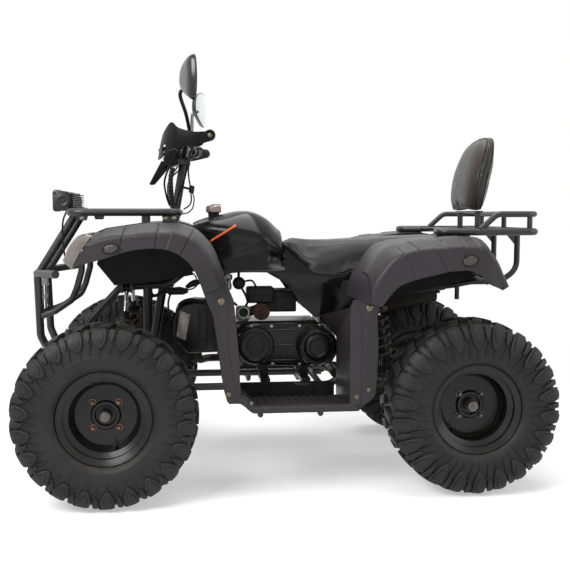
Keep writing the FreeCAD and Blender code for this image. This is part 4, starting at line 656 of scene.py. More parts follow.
cover_parts = [
    plate("belt_cover", around_pulleys(0.0), COVER_FACE, -0.0703, 0.003),
    plate("belt_cover_top", around_pulleys(0.01), -0.1395, -0.13, 0.004, 3),
]
cover_parts.append(washer("belt_dome", mm(
    (0, 0), (69.5, 0), (69, 12), (66.5, 26), (61.5, 39), (56, 45.5), (49, 46.2),
    (46.5, 44), (44, 46.2), (42.5, 54), (37, 57.5), (30, 57.5), (26.5, 54), (0, 54)
), (PULLEY_REAR[0], -0.1375, PULLEY_REAR[1]), -1, 96))
cover_parts.append(washer("pulley_cap", mm(
    (0, 0), (65.5, 0), (63.5, 8.5), (60, 12.5), (50, 14), (48, 11.8), (30, 11.2),
    (28, 13.6), (0, 13.6)
), (PULLEY_FRONT[0], -0.1385, PULLEY_FRONT[1]), -1, 96))
vane = slab("vane", (0.15, 0.4365), (0.1765, 0.4395), -0.1875, -0.165, 0.0009, 1)
to_pulley = Matrix.Translation((PULLEY_REAR[0], 0, PULLEY_REAR[1]))
VANES = 14
for i in range(VANES):
    turn = to_pulley @ Matrix.Rotation(math.tau * i / VANES, 4, "Y") @ to_pulley.inverted()
    cover_parts.append(copied(vane, "vane_copy", turn))
cover_parts.append(vane)
for x0, z0, x1, z1 in ((-0.055, 0.492, 0.062, 0.492), (-0.05, 0.388, 0.06, 0.388),
                       (-0.034, 0.44, 0.036, 0.44)):
    path = [(x0, -0.1392, z0), ((x0 + x1) / 2, -0.1396, (z0 + z1) / 2), (x1, -0.1392, z1)]
    cover_parts.append(rounded_bar("cover_rib", path, [0.0022, 0.003, 0.0022], 12, 8))
belt_cover = joined("belt_cover", cover_parts)
belt_cover.data.materials.append(engine_black)
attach(belt_cover, "chassis")
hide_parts("drive_cover")
heads = []
rim = around_pulleys(0.0055)
for i in (1, 5, 9, 13, 16, 18, 22, 25, 28, 32):
    heads.append(hex_nut("cover_bolt", (rim[i][0], COVER_FACE, rim[i][1]), 0.0085, 0.005, -1))
for x, z in ((-0.04, 0.5045), (0.058, 0.5045), (-0.036, 0.3755), (0.058, 0.373)):
    heads.append(hex_nut("cover_bolt", (x, COVER_FACE, z), 0.0085, 0.005, -1))
cover_bolts = joined("belt_cover_bolts", heads)
cover_bolts.data.materials.append(zinc)
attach(cover_bolts, "chassis")

# Crankcase. Two cast alloy halves in the same black, with cooling webs underneath,
# a round cap over the magneto, bare bolts along both faces and a drain plug.
case_outline = mm((-165.5, 372.5), (-139.5, 352.5), (149.5, 352.5), (177.5, 372.5), (177.5, 469.5),
                  (119.5, 515.5), (-165.5, 515.5))
case_parts = [plate("case_half_left", case_outline, -0.0695, -0.001, 0.007, 3),
              plate("case_half_right", case_outline, 0.001, 0.0735, 0.007, 3)]
case_parts.append(washer("magneto_cap", mm(
    (0, 0), (65.5, 0), (64.5, 12), (59, 18.5), (47, 20.5), (44, 18.5), (20, 18.5),
    (18, 21.5), (0, 21.5)
), (-0.1, 0.0738, 0.44), 1, 72))
case_parts.append(washer("sprocket_boss", mm(
    (0, 0), (34, 0), (34, 10), (20, 12), (20, 20), (0, 20)), (0.1, 0.0736, 0.43), 1, 32))
for x in (-0.13, -0.085, -0.04, 0.005, 0.05, 0.095):
    case_parts.append(slab("web", (x, 0.352), (x + 0.006, 0.358), -0.066, 0.07, 0.001, 1))
crankcase = joined("crankcase", case_parts)
crankcase.data.materials.append(engine_black)
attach(crankcase, "chassis")
plug_parts = [turned_along("drain_plug", (-0.142, -0.05, 0.364), (-0.142, -0.079, 0.373), mm(
    (0, 13), (12, 13), (13, 10.5), (24, 10.5), (25.5, 9)), 24)]
for x, z in ((-0.152, 0.498), (-0.15, 0.386), (0.02, 0.366), (0.14, 0.365), (0.165, 0.44)):
    plug_parts.append(hex_nut("case_bolt", (x, -0.0693, z), 0.009, 0.006, -1))
    plug_parts.append(hex_nut("case_bolt", (x, 0.0733, z), 0.009, 0.006, 1))
plugs = joined("case_bolts", plug_parts)
plugs.data.materials.append(raw_alloy)
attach(plugs, "chassis")

# Cylinder in its plastic cooling shroud, with the bare valve cover on the left and
# the breather hose arched over its top.
shroud_parts = [plate("shroud", mm(
    (-166.5, 408.5), (-166.5, 511.5), (-205, 574.5), (-255, 586), (-300, 591), (-335, 583), (-365, 565),
    (-374, 520), (-377.5, 470), (-356, 435), (-330, 404.5)
), -0.0735, 0.0735, 0.013, 5)]
for x in (-0.285, -0.26, -0.235, -0.21, -0.185):
    top = 0.566 if x < -0.2 else 0.53
    path = [(x, -0.074, 0.424), (x, -0.0752, (top + 0.424) / 2), (x, -0.074, top)]
    shroud_parts.append(rounded_bar("shroud_rib", path, [0.0015, 0.0026, 0.0015], 10, 8))
band = mm((-370, 448), (-170, 434), (-170, 440), (-371.5, 454.5))
shroud_parts.append(plate("shroud_band", band, -0.0765, -0.072, 0.001))
shroud = joined("cylinder_shroud", shroud_parts)
shroud.data.materials.append(engine_black)
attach(shroud, "chassis")
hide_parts("cylinder")
quad = mm((-351.5, 559.5), (-314.5, 543.5), (-332, 452.5), (-365.5, 466.5))
valve_parts = [plate("valve_cover", quad, -0.0855, -0.073, 0.0045, 3)]
for x, z in ((-0.3465, 0.55), (-0.3225, 0.5395), (-0.336, 0.464), (-0.358, 0.474)):
    valve_parts.append(hex_nut("valve_bolt", (x, -0.085, z), 0.008, 0.0045, -1))
valve = joined("valve_cover", valve_parts)
valve.data.materials.append(raw_alloy)
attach(valve, "chassis")
hose_black = finish("hose_black", (0.009, 0.009, 0.01), 0.45, cloud=30, dust=0.04)
breather = rounded_bar("breather_hose", mm(
    (-352, -60, 562), (-349, -66, 580), (-318, -68, 592.5), (-270, -66, 584), (-243, -60, 569),
    (-235, -50, 562)
), 0.0062, 60, 12)
lead = rounded_bar("spark_lead", mm(
    (-366, -30, 520), (-386, -45, 535), (-392, -70, 575), (-387, -88, 605), (-380, -90, 620)
), 0.0035, 60, 10)
spark_cap = turned_along("spark_cap", (-0.352, -0.022, 0.512), (-0.378, -0.038, 0.527), mm(
    (0, 10), (20, 9.5), (24, 7), (34, 6)), 18)
coil_box = plate("ignition_coil", mm(
    (-391, 613), (-340, 613), (-322, 620), (-324, 633), (-352, 640), (-389, 636), (-396, 624)
), -0.102, -0.0795, 0.004)
plug = rounded_bar("loom_plug", mm(
    (-330, -91, 637), (-312, -91, 648), (-296, -90, 654), (-280, -90, 655)
), [0.006, 0.0105, 0.0115, 0.006], 24, 12)
sleeve = rounded_bar("loom_sleeve", mm(
    (-452, -80, 606), (-430, -84, 611), (-405, -89, 621), (-392, -91, 624)
), [0.0045, 0.006, 0.006, 0.007], 24, 12)
loom = rounded_bar("loom", mm(
    (-280, -90, 655), (-262, -92, 662), (-240, -96, 668), (-214, -100, 676), (-190, -98, 690)
), 0.0042, 50, 10)
coil_wires = [rounded_bar("coil_wire", path, 0.0026, 40, 8) for path in (
    mm((-326, -91, 629), (-305, -88, 634), (-292, -86, 648), (-298, -90, 676), (-318, -96, 694)),
    mm((-391, -91, 624), (-410, -90, 617), (-423, -86, 609), (-440, -82, 612), (-452, -80, 630)),
)]
hoses = joined("engine_hoses", [breather, lead, spark_cap, coil_box, plug, sleeve, loom] + coil_wires)
hoses.data.materials.append(hose_black)
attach(hoses, "chassis")

# Carburettor, filter box, fuel tap and pump. Cast alloy body with a turned throat ring and
# float bowl, a moulded filter box and rubber hoses; the reddish disc is the choke's rusted cover.
carb_parts = [
    plate("carb_body", mm((-159, 525), (-111, 525), (-111, 563), (-118, 571), (-152, 571), (-159, 563)),
          -0.108, -0.0625, 0.005, 3),
    turned_along("float_bowl", (-0.135, -0.088, 0.5166), (-0.135, -0.088, 0.53), mm(
        (0, 12), (2, 16.5), (6, 19.5), (13, 19.5)), 32),
    washer("throat_ring", mm((14.5, -2), (14.5, 9), (16.5, 11.5), (20.5, 11.5), (22.5, 9), (22.5, -2)),
           (-0.135, -0.112, 0.552), -1, 48),
]
throat = washer("carb_throat", mm((0, 0), (14.8, 0), (14.8, 4.5), (12, 5.2), (6, 3), (0, 3)),
                (-0.135, -0.1115, 0.552), -1, 32)
throat.data.materials.append(hose_black)
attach(throat, "chassis")
for x, z in ((-0.156, 0.529), (-0.114, 0.529), (-0.156, 0.568), (-0.114, 0.568)):
    carb_parts.append(hex_nut("carb_screw", (x, -0.1076, z), 0.006, 0.004, -1))
carb = joined("carburettor", carb_parts)
carb.data.materials.append(raw_alloy)
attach(carb, "chassis")
box_parts = [
    slab("filter_box", (-0.0775, 0.5485), (0.0515, 0.6215), -0.0855, 0.0595, 0.006, 3),
    slab("filter_lid", (-0.0795, 0.598), (0.0535, 0.6035), -0.088, 0.0615, 0.0015, 2),
    rounded_bar("intake_elbow", mm((-112, -88, 552), (-94, -83, 556), (-76, -70, 562), (-58, -58, 566)),
                [0.0175, 0.0165, 0.0172, 0.0175], 24, 20),
]
for x in (-0.05, -0.02, 0.01, 0.035):
    box_parts.append(slab("box_rib", (x, 0.552), (x + 0.004, 0.595), -0.0875, -0.0845, 0.0008, 1))
box_parts.append(slab("air_box_nose", (-0.1225, 0.582), (-0.028, 0.6375), -0.112, -0.04, 0.008, 3))
box_parts.append(slab("air_box_seam", (-0.1245, 0.608), (-0.027, 0.6115), -0.114, -0.038, 0.001))
filter_box = joined("filter_box", box_parts)
filter_box.data.materials.append(hose_black)
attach(filter_box, "chassis")
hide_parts("intake")
rusty = finish("rusted_disc", (0.048, 0.02, 0.015), 0.55, cloud=26, mottle=0.5,
               grain=(200.0, 0.0005), grime=0.3)
choke = washer("choke_cover", mm(
    (0, -4), (29.2, -4), (29.8, 1), (28.5, 3.5), (23.5, 4), (22, 2), (11, 1.6),
    (9.5, 5.5), (6, 6), (5.5, 3.5), (0, 3.5)
), (-0.072, -0.1005, 0.552), -1, 48)
choke.data.materials.append(rusty)
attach(choke, "chassis")
tap_parts = [
    turned_along("tap_body", (-0.186, -0.098, 0.6945), (-0.186, -0.1, 0.628), mm(
        (0, 7), (12, 7), (13, 13.5), (22, 15), (30, 13.5), (32, 10), (44, 9.5),
        (46, 12), (60, 11.5), (65.5, 8.5), (66.5, 0)), 28),
    rounded_bar("tap_lever", mm((-186, -108, 668), (-191, -118, 656), (-197, -122, 640)),
                [0.0055, 0.0045, 0.0065], 14, 10),
]
tap = joined("fuel_tap", tap_parts)
tap.data.materials.append(raw_alloy)
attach(tap, "chassis")
pump_parts = [
    turned_along("fuel_pump", (-0.149, -0.074, 0.651), (-0.149, -0.116, 0.651), mm(
        (0, 19.5), (16, 20), (18, 22.2), (22, 22.2), (24, 20), (36, 18),
        (41, 13), (42, 0)), 32),
    rounded_bar("pump_stay", mm((-149, -78, 668), (-149, -80, 684), (-149, -88, 700)),
                [0.005, 0.005, 0.006], 12, 8),
    rounded_bar("fuel_hose", mm((-186, -100, 630), (-187, -100, 606), (-172, -98, 588), (-156, -92, 574)),
                0.0042, 40, 10),
    rounded_bar("pump_hose", mm((-140, -110, 634), (-128, -112, 612), (-120, -104, 588), (-126, -94, 571)),
                0.004, 40, 10),
    rounded_bar("vent_hose", mm((-132, -100, 657), (-106, -100, 660), (-92, -94, 642), (-88, -86, 618)),
                0.0034, 40, 10),
]
pump = joined("fuel_pump", pump_parts)
pump.data.materials.append(hose_black)
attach(pump, "chassis")

# Exhaust. Steel header and muffler in dull, mottled heat-proof black; the rolled can
# has two bands and is drawn in at both ends.
hot_steel = finish("heat_black", (0.014, 0.013, 0.012), 0.5, cloud=10, mottle=0.4, grime=0.2,
                   metal=0.2, dust=0.08)
dress(hot_steel, "exhaust")
can_foot, can_head = Vector((0.326, 0.2, 0.541)), Vector((0.62, 0.2, 0.6))
can = turned_along("muffler", can_foot, can_head, mm(
    (0, 30), (6, 40), (16, 46.2), (30, 47.4), (70, 47.4), (71, 48.2), (86, 48.2),
    (87, 47.4), (222, 47.4), (223, 48.2), (238, 48.2), (239, 47.4), (270, 47.2), (288, 44),
    (296, 34), (299, 20)), 64)
can.data.materials.append(hot_steel)
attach(can, "chassis")

# Drive chain. A closed loop of steel links round both sprockets, oily and dusty;
# it stays with the frame, as the axle turns alone.
chain_steel = finish("oily_chain", (0.1, 0.09, 0.08), 0.4, cloud=40, metal=0.8, grime=0.3)
dress(chain_steel, "drive_chain")

# Fenders. One grey polypropylene moulding over each pair of wheels, about 4 mm
# thick, with broad raised ribs that run over the fold and down the skirt.
FRONT_FENDER = mm(
    (-118, 440, -108, 436, 300, 400, 462), (-66, 529, -94, 448, 250, 430, 500),
    (-18, 547, -52, 460, 200, 440, 508), (35, 560, 0, 474, 150, 446, 510),
    (95, 568, 74, 497, 150, 450, 512), (140, 572, 129, 505, 150, 450, 512),
    (215, 572, 174, 504, 150, 450, 512), (274, 552, 211, 494, 160, 448, 510),
    (306, 524, 246, 470, 172, 444, 508), (328, 495, 268, 443, 184, 440, 504),
    (346, 452, 288, 398, 196, 436, 494), (366, 392, 298, 368, 204, 432, 478)
)
REAR_FENDER = mm(
    (-366, 342, -306, 328, 204, 424, 478), (-348, 405, -278, 367, 200, 424, 482),
    (-314, 459, -250, 393, 190, 426, 488), (-277, 497, -207, 409, 178, 430, 492),
    (-234, 515, -156, 422, 172, 434, 496), (-184, 522, -114, 432, 170, 438, 498),
    (-133, 528, -73, 437, 170, 440, 500), (-46, 534, -34, 436, 170, 442, 500),
    (13, 528, -1, 421, 170, 440, 498), (39, 503, 24, 396, 172, 434, 494),
    (65, 470, 46, 386, 176, 426, 486), (87, 432, 62, 380, 180, 418, 476),
    (107, 390, 76, 374, 184, 410, 466)
)
# Rib edges: crown place and skirt-edge place of each raised band, from the wheel's centre
FRONT_RIBS = [((0.004, -0.026), (0.066, 0.044)), ((0.104, 0.088), (0.164, 0.148)),
              ((0.214, 0.172), (0.276, 0.214))]
RIB_HEIGHT, FENDER_WALL = 0.0034, 0.0036
REAR_RIBS = [((-0.4, -0.34), (-0.263, -0.213)), ((-0.214, -0.152), (-0.163, -0.1)),
             ((-0.116, -0.084), (-0.054, -0.058)), ((-0.009, 0.006), (0.13, 0.13))]


LAMP_FOOT, LAMP_HEAD = (front_x - 0.085, 0.0, front_z + 0.446), (front_x - 0.031, 0.0, front_z + 0.54)
LAMP_OUT = (LAMP_FOOT[2] - LAMP_HEAD[2], 0.0, LAMP_HEAD[0] - LAMP_FOOT[0])

UPWARDS, LEFTWARDS = Vector((0, 0, 1)), Vector((0, -1, 0))
TO_RIGHT = Matrix.Scale(-1, 4, (0, 1, 0))


def faced(sheet, way, face=0):
    """Turns a sheet over if one of its faces looks away from the way given."""
    if sheet.data.polygons[face].normal.dot(way) < 0:
        sheet.data.flip_normals()
    return sheet


def walled(sheet, way, thickness, offset=-1.0):
    """Faces a sheet and gives it its thickness."""
    return worked(faced(sheet, way), "SOLIDIFY", thickness=thickness, offset=offset)


def step_up(value, low, high):
    """Rises smoothly from 0 to 1 between two bounds."""
    t = min(max((value - low) / (high - low), 0.0), 1.0)
    return t * t * (3 - 2 * t)


def fender_point(stations, wheel, along, across):
    """A point on the plain outer skin of a left fender."""
    cx, cz, ex, ez, inner, crown, outer = eased(stations, along)
    top = Vector((wheel[0] + cx, 0, wheel[1] + cz))
    down = Vector((wheel[0] + ex, 0, wheel[1] + ez)) - top
    depth = down.length
    down.normalize()
    fold = min(0.026, depth * 0.4)
    rows = [
        (inner, -0.006), (inner * 0.6 + (crown - 0.04) * 0.4, -0.0055), (crown - 0.075, -0.005),
        (crown - 0.03, -0.0035), (crown, 0.002), ((crown + outer) / 2 + 0.004, fold * 0.5),
        (outer - 0.004, fold), (outer - 0.002, fold + 0.02), (outer - 0.001, (fold + depth) / 2 + 0.01),
        (outer, depth),
    ]
    y, drop = eased(rows, across)
    spot = top + down * drop
    return Vector((spot.x, -y, spot.z))


def ribbed_fender(name, stations, wheel, ribs):
    """A left fender: its skin with the ribs raised on it, cut at the lamp in front, and given its wall."""
    def rise(spot):
        """How far the skin stands out here: a smooth step at each rib's edge."""
        fall = min(max((stations[len(stations) // 2][1] + wheel[1] - spot.z) / 0.11, 0.0), 1.0)
        total = 0.0
        for (a, b), (c, d) in ribs:
            low, high = wheel[0] + a + (b - a) * fall, wheel[0] + c + (d - c) * fall
            risen = step_up(spot.x, low - 0.0015, low + 0.0015)
            total += risen * (1 - step_up(spot.x, high - 0.0015, high + 0.0015))
            # A fine groove at the band's rear edge
            total -= 0.55 * math.exp(-((spot.x - high - 0.0025) / 0.0016) ** 2)
        return min(total, 1.0) * RIB_HEIGHT

    def place(u, v):
        spot = fender_point(stations, wheel, u, v)
        d = 0.004
        along = fender_point(stations, wheel, u + d, v) - fender_point(stations, wheel, u - d, v)
        across = fender_point(stations, wheel, u, v + d) - fender_point(stations, wheel, u, v - d)
        out = across.cross(along)
        if out.length > 1e-9:
            spot = spot + out.normalized() * (rise(spot) * step_up(v, 0.18, 0.3))
        return spot

    skin = bent_grid(name, 330, 36, place)
    faced(skin, UPWARDS, len(skin.data.polygons) // 2)
    if name.startswith("front"):
        # The corner ends at the lamp
        alone(skin)
        bpy.ops.object.mode_set(mode="EDIT")
        bpy.ops.mesh.select_all(action="SELECT")
        bpy.ops.mesh.bisect(plane_co=LAMP_FOOT, plane_no=LAMP_OUT, clear_outer=True)
        bpy.ops.object.mode_set(mode="OBJECT")
    worked(skin, "SOLIDIFY", thickness=FENDER_WALL, offset=-1.0)
    softened(skin, 0.0007, 1, 55)
    return smoothed(skin, 42)


moulding = finish("grey_fender_moulding", (0.024, 0.022, 0.0237), 0.4, cloud=5, mottle=0.1,
                  grain=(1500.0, 0.00016), dust=0.035, shine=0.26)
for word, stations, wheel, ribs, node in (
    ("front", FRONT_FENDER, (front_x, front_z), FRONT_RIBS, "front_fenders"),
    ("rear", REAR_FENDER, (rear_x, rear_z), REAR_RIBS, "rear_fenders"),
):
    near = ribbed_fender(f"{word}_fender_left", stations, wheel, ribs)
    near.data.materials.append(moulding)
    far = copied(near, f"{word}_fender_right", TO_RIGHT)
    for piece in (near, far):
        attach(piece, "chassis")
    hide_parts(node)


deck = plate("front_fender_deck", mm(
    (-476, -152), (-376, -152), (-376, -26), (-398.5, -26), (-398.5, 26), (-376, 26),
    (-376, 152), (-476, 152)
), 0.856, 0.86, 0.001, axis="Z")
deck.data.materials.append(moulding)
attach(deck, "chassis")
tail_rows = [eased(REAR_FENDER, 8 / 12 + 4 / 12 * i / 24) for i in range(25)]


def tail_point(u, v):
    """A point on the strip that joins both rear fenders behind the seat."""
    cx, cz, ex, ez = tail_rows[int(round(u * 24))][:4]
    down = Vector((ex - cx, 0, ez - cz)).normalized()
    y = 0.188 * (2 * v - 1)
    swell = 0.0035 * step_up(abs(y), 0.16, 0.1)
    return Vector((rear_x + cx - (0.006 + swell) * down.x, y, rear_z + cz - (0.006 + swell) * down.z))


tail = smoothed(walled(bent_grid("rear_fender_tail", 24, 40, tail_point), UPWARDS, 0.004), 42)
tail.data.materials.append(moulding)
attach(tail, "chassis")
dress(moulding, "front_fenders", "rear_fenders")

# Nose, liners and guards. The same plastic, in black inside the arches and
# scuffed grey where boots rub; the guards are bolted to the fenders' ends.
liner = finish("black_liner", (0.008, 0.008, 0.0085), 0.5, dust=0.05, grime=0.04)
dress(liner, "inner_panels", "front_cowl")
dress(moulding, "foot_guard_left", "foot_guard_right")
bolt_black = finish("black_oxide_bolt", (0.16, 0.14, 0.095), 0.36, metal=0.9)

LEGS = {
    "front": ([(-0.2745, 0.6485), (-0.262, 0.615), (-0.2455, 0.577), (-0.2375, 0.53), (-0.2315, 0.481),
               (-0.222, 0.41), (-0.2145, 0.35), (-0.2035, 0.309)],
              [(-0.2035, 0.6735), (-0.193, 0.645), (-0.182, 0.61), (-0.1765, 0.554), (-0.171, 0.49),
               (-0.1675, 0.439), (-0.165, 0.38), (-0.163, 0.322)],
              (0.42, 0.36, 0.32, 0.34, 0.38, 0.44, 0.55, 0.7), 0.007),
    "rear": ([(0.1905, 0.6235), (0.184, 0.6), (0.1795, 0.565), (0.1795, 0.5), (0.1795, 0.43),
              (0.1795, 0.379), (0.1795, 0.33), (0.1795, 0.286)],
             [(0.2735, 0.604), (0.2645, 0.58), (0.2665, 0.52), (0.268, 0.48), (0.266, 0.42), (0.2635, 0.36),
              (0.258, 0.322), (0.236, 0.299)],
             (0.72, 0.66, 0.58, 0.5, 0.45, 0.42, 0.4, 0.4), 0.006),
}


def leg_point(leg, u, v, rise=0.0):
    """A point on a leg's creased skin; u runs from its front edge to its rear edge, v down it."""
    front, rear, crease, out = LEGS[leg]
    a, b = eased(front, v), eased(rear, v)
    share = eased([(c,) for c in crease], v)[0]
    swell = min(out * u / share, out) if u < share else out * (0.45 + 0.55 * (1 - u) / (1 - share))
    return Vector((a[0] + (b[0] - a[0]) * u, -(0.4304 + swell + rise), a[1] + (b[1] - a[1]) * u))


def leg_panel(leg):
    """One leg of the left guard, with its wall and rounded edges."""
    skin = bent_grid(f"guard_{leg}_leg", 14, 40, lambda u, v: leg_point(leg, u, v))
    walled(skin, LEFTWARDS, 0.003, 1.0)
    softened(skin, 0.001, 2, 50)
    return smoothed(skin, 24)


guards = [leg_panel("front"), leg_panel("rear")]
sill = bent_grid("guard_sill", 46, 10, lambda u, v: Vector((
    -0.2 + 0.408 * u, -(0.4306 + 0.004 * math.sin(math.pi * min(v * 1.15, 1)) + 0.0008 * math.cos(u * 60)),
    (0.3055 if u < 0.08 else 0.3055 - 0.032 * step_up(u, 0.08, 0.2)) * (1 - v)
    + (0.326 if u < 0.08 else 0.326 - 0.031 * step_up(u, 0.08, 0.2)) * v,
)))
guards.append(smoothed(walled(sill, LEFTWARDS, 0.003, 1.0), 30))
tread_bars = []
for i in range(9):
    x = -0.1 + 0.026 * i
    tread_bars.append(slab("floor_bar", (x, -0.4), (x + 0.008, -0.215), 0.2772, 0.2812, 0.0012, axis="Z"))
guards.append(joined("guard_floor_bars", tread_bars))
# Raised lines and bolt bosses of the moulding: along the folds of both legs and at the bands' ends
ridges = []
for leg, path in (
    ("front", [(0.03, 0.01), (0.3, 0.012), (0.6, 0.012), (0.97, 0.015)]),
    ("front", [(0.8, 0.03), (0.86, 0.12), (0.8, 0.26), (0.52, 0.37)]),
    ("front", [(0.06, 0.28), (0.22, 0.35), (0.52, 0.37), (0.72, 0.39), (0.97, 0.4)]),
    ("front", [(0.52, 0.38), (0.5, 0.52), (0.52, 0.68), (0.6, 0.84), (0.7, 0.95)]),
    ("rear", [(0.02, 0.015), (0.4, 0.01), (0.8, 0.01), (0.98, 0.015)]),
    ("rear", [(0.14, 0.03), (0.24, 0.15), (0.46, 0.24), (0.72, 0.27), (0.97, 0.27)]),
    ("rear", [(0.4, 0.24), (0.4, 0.4), (0.4, 0.56), (0.4, 0.72)]),
    ("rear", [(0.03, 0.735), (0.3, 0.73), (0.6, 0.73), (0.97, 0.725)]),
    ("rear", [(0.4, 0.74), (0.42, 0.82), (0.46, 0.9), (0.52, 0.98)]),
):
    run = [leg_point(leg, *eased(path, i / 12), 0.003) for i in range(13)]
    ridges.append(rounded_bar("guard_ridge", run, [0.0008] + [0.0017] * 5 + [0.0008], 30, 8))
guards.append(joined("guard_ridges", ridges))
# Low black lip along the floor's inner edge, scalloped where the frame's cross tubes pass
lip = bent_grid("guard_floor_lip", 66, 6, lambda u, v: Vector((
    -0.166 + 0.331 * u, -0.2135 + 0.0012 * math.sin(u * 40),
    0.279 + v * (0.046 - 0.012 * step_up(abs(u - 0.68), 0.1, 0.06)))))
lip.data.materials.append(liner)
guards.append(smoothed(walled(lip, LEFTWARDS, 0.003, 0.0), 30))
for piece in guards:
    if not piece.data.materials:
        piece.data.materials.append(moulding)
    far = copied(piece, piece.name + "_right", TO_RIGHT)
    piece.name += "_left"
    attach(piece, "chassis")
    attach(far, "chassis")
screws = []
for x, y, z, size in ((-0.222, 0.441, 0.622, 0.011), (0.239, 0.438, 0.597, 0.011),
                      (-0.2, 0.4375, 0.335, 0.008), (0.2, 0.4365, 0.318, 0.008),
                      (-0.13, 0.4365, 0.305, 0.007), (0.238, 0.438, 0.34, 0.007)):
    for side in (-1, 1):
        dome = washer("guard_screw", [
            (0.0, 0.0035), (size * 0.35, 0.0034), (size * 0.36, 0.0018), (size * 0.5, 0.0018),
            (size * 0.52, 0.0032), (size * 0.85, 0.0022), (size, 0.0), (0.0, 0.0),
        ], (x, side * y, z), side, 20)
        screws.append(dome)
heads = joined("guard_screws", screws)
heads.data.materials.append(bolt_black)
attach(heads, "chassis")

# Tank cover. Gloss black plastic over the tank, swept down to the seat's nose,
# with one plain orange stripe on each flank.
TANK = mm(
    (-305, 40, 78, 92, 858, 836, 768), (-262, 62, 112, 128, 875, 842, 740),
    (-206, 72, 138, 158, 887, 842, 693), (-150, 76, 148, 164, 898, 838, 692),
    (-100, 74, 148, 164, 896, 828, 692), (-50, 66, 138, 162, 873, 806, 691),
    (-12, 52, 116, 158, 839, 780, 691), (3, 44, 100, 156, 822, 764, 691),
    (5.5, 44, 100, 154, 776, 756, 693), (30, 40, 90, 150, 744, 730, 700)
)


def tank_point(u, v):
    """u runs from the cover's front to its rear, v round it."""
    x, crown, shoulder, low_half, top, mid, low = eased(TANK, u)
    half = [
        (0.0, top + 0.001), (crown * 0.5, top - 0.0005), (crown, top - 0.008),
        ((crown + shoulder) / 2 + 0.004, (top + mid) / 2 + 0.002), (shoulder, mid),
        (shoulder + 0.005, (mid * 2 + low) / 3 + 0.006), (shoulder + 0.008, (mid + low * 2) / 3 + 0.008),
        (low_half - 0.001, low + 0.012), (low_half - 0.004, low), (low_half * 0.5, low),
    ]
    side = -1 if v > 0.5 else 1
    share = abs(2 * v - 1)
    y, z = eased(half, 1 - share)
    # Crease that climbs towards the seat, the flank below it a little hollow
    line = 0.752 + 0.064 * (x + 0.159) / 0.126
    fade = step_up(x, -0.21, -0.15) * (1 - step_up(x, -0.035, 0.0))
    y -= 0.0022 * step_up(line - z, -0.007, 0.007) * fade * step_up(z, low + 0.005, low + 0.03)
    return Vector((x, side * max(y, 0.0), z))


gloss_black, tank_paint = (
    finish(name, (0.0034, 0.0034, 0.0037), 0.16, cloud=4, mottle=0.2, grain=(90.0, 0.00004),
           dust=0.015, shine=0.2)
    for name in ("gloss_black_cover", "tank_paint")
)
tank = smoothed(capped(bent_grid("tank_cover_shell", 96, 132, tank_point)), 40)
tree = tank_paint.node_tree
spot = tree.nodes.new("ShaderNodeTexCoord")
apart = tree.nodes.new("ShaderNodeSeparateXYZ")
tree.links.new(spot.outputs["Object"], apart.inputs[0])


def between(tree, value, low, high):
    """1 where a value lies between two bounds, else 0."""
    middle, half = (low + high) / 2, (high - low) / 2
    step = tree.nodes.new("ShaderNodeMath")
    step.operation = "COMPARE"
    step.inputs[1].default_value = middle
    step.inputs[2].default_value = half
    tree.links.new(value, step.inputs[0])
    return step.outputs[0]


slope = tree.nodes.new("ShaderNodeMath")
slope.operation = "MULTIPLY_ADD"
slope.inputs[1].default_value = -0.629
tree.links.new(apart.outputs["X"], slope.inputs[0])
tree.links.new(apart.outputs["Z"], slope.inputs[2])
masks = [between(tree, apart.outputs["X"], -0.246, -0.16), between(tree, slope.outputs[0], 0.9485, 0.9565)]
stripe = tree.nodes.new("ShaderNodeMath")
stripe.operation = "MULTIPLY"
for socket, mask in zip(stripe.inputs, masks):
    tree.links.new(mask, socket)
shader = tree.nodes["Principled BSDF"]
over = tree.nodes.new("ShaderNodeMix")
over.data_type = "RGBA"
tree.links.new(stripe.outputs[0], over.inputs[0])
tree.links.new(shader.inputs["Base Color"].links[0].from_socket, over.inputs[6])
over.inputs[7].default_value = (0.62, 0.1, 0.02, 1)
tree.links.new(over.outputs[2], shader.inputs["Base Color"])
tank.data.materials.append(tank_paint)
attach(tank, "chassis")
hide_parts("tank_cover")
dress(gloss_black, "tank_cover", "side_panels")

# Side panels. Thin gloss black mouldings between tank, seat and rear fender, each
# with a rolled bead along its upper edge and a fold low in front.
PANEL = mm((-34, 692.5), (4.5, 692.5), (4.5, 772.5), (21, 751), (56, 721.5), (98, 691.5),
           (150, 683.5), (198, 683.5), (227, 692), (292, 717.5), (316, 721), (260.5, 640),
           (244.5, 598), (226.5, 567.5), (108.5, 537.5), (67, 574.5), (16, 648))
# Rolled upper edge, where the seat's cover meets the panel
BRINK = mm((2, 774), (21, 752), (56, 722.5), (98, 693), (150, 685), (198, 685),
           (227, 693), (290, 718))
FOLD = mm((-30, 690), (12, 652), (43, 608), (72, 572), (108, 540))
for side in (-1, 1):
    face = plate(f"side_panel_face_{side}", PANEL, side * 0.1606, side * 0.1632, 0.0012)
    bead = rounded_bar(f"side_panel_bead_{side}", [(x, side * 0.1628, z) for x, z in BRINK],
                       [0.001] + [0.0019] * 6 + [0.001], 90, 8)
    fold = rounded_bar(f"side_panel_fold_{side}", [(x, side * 0.163, z) for x, z in FOLD],
                       [0.0009, 0.0016, 0.0016, 0.0009], 50, 8)
    face = joined(f"side_panel_face_{side}", [face, bead, fold])
    face.data.materials.append(gloss_black)
    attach(face, "chassis")

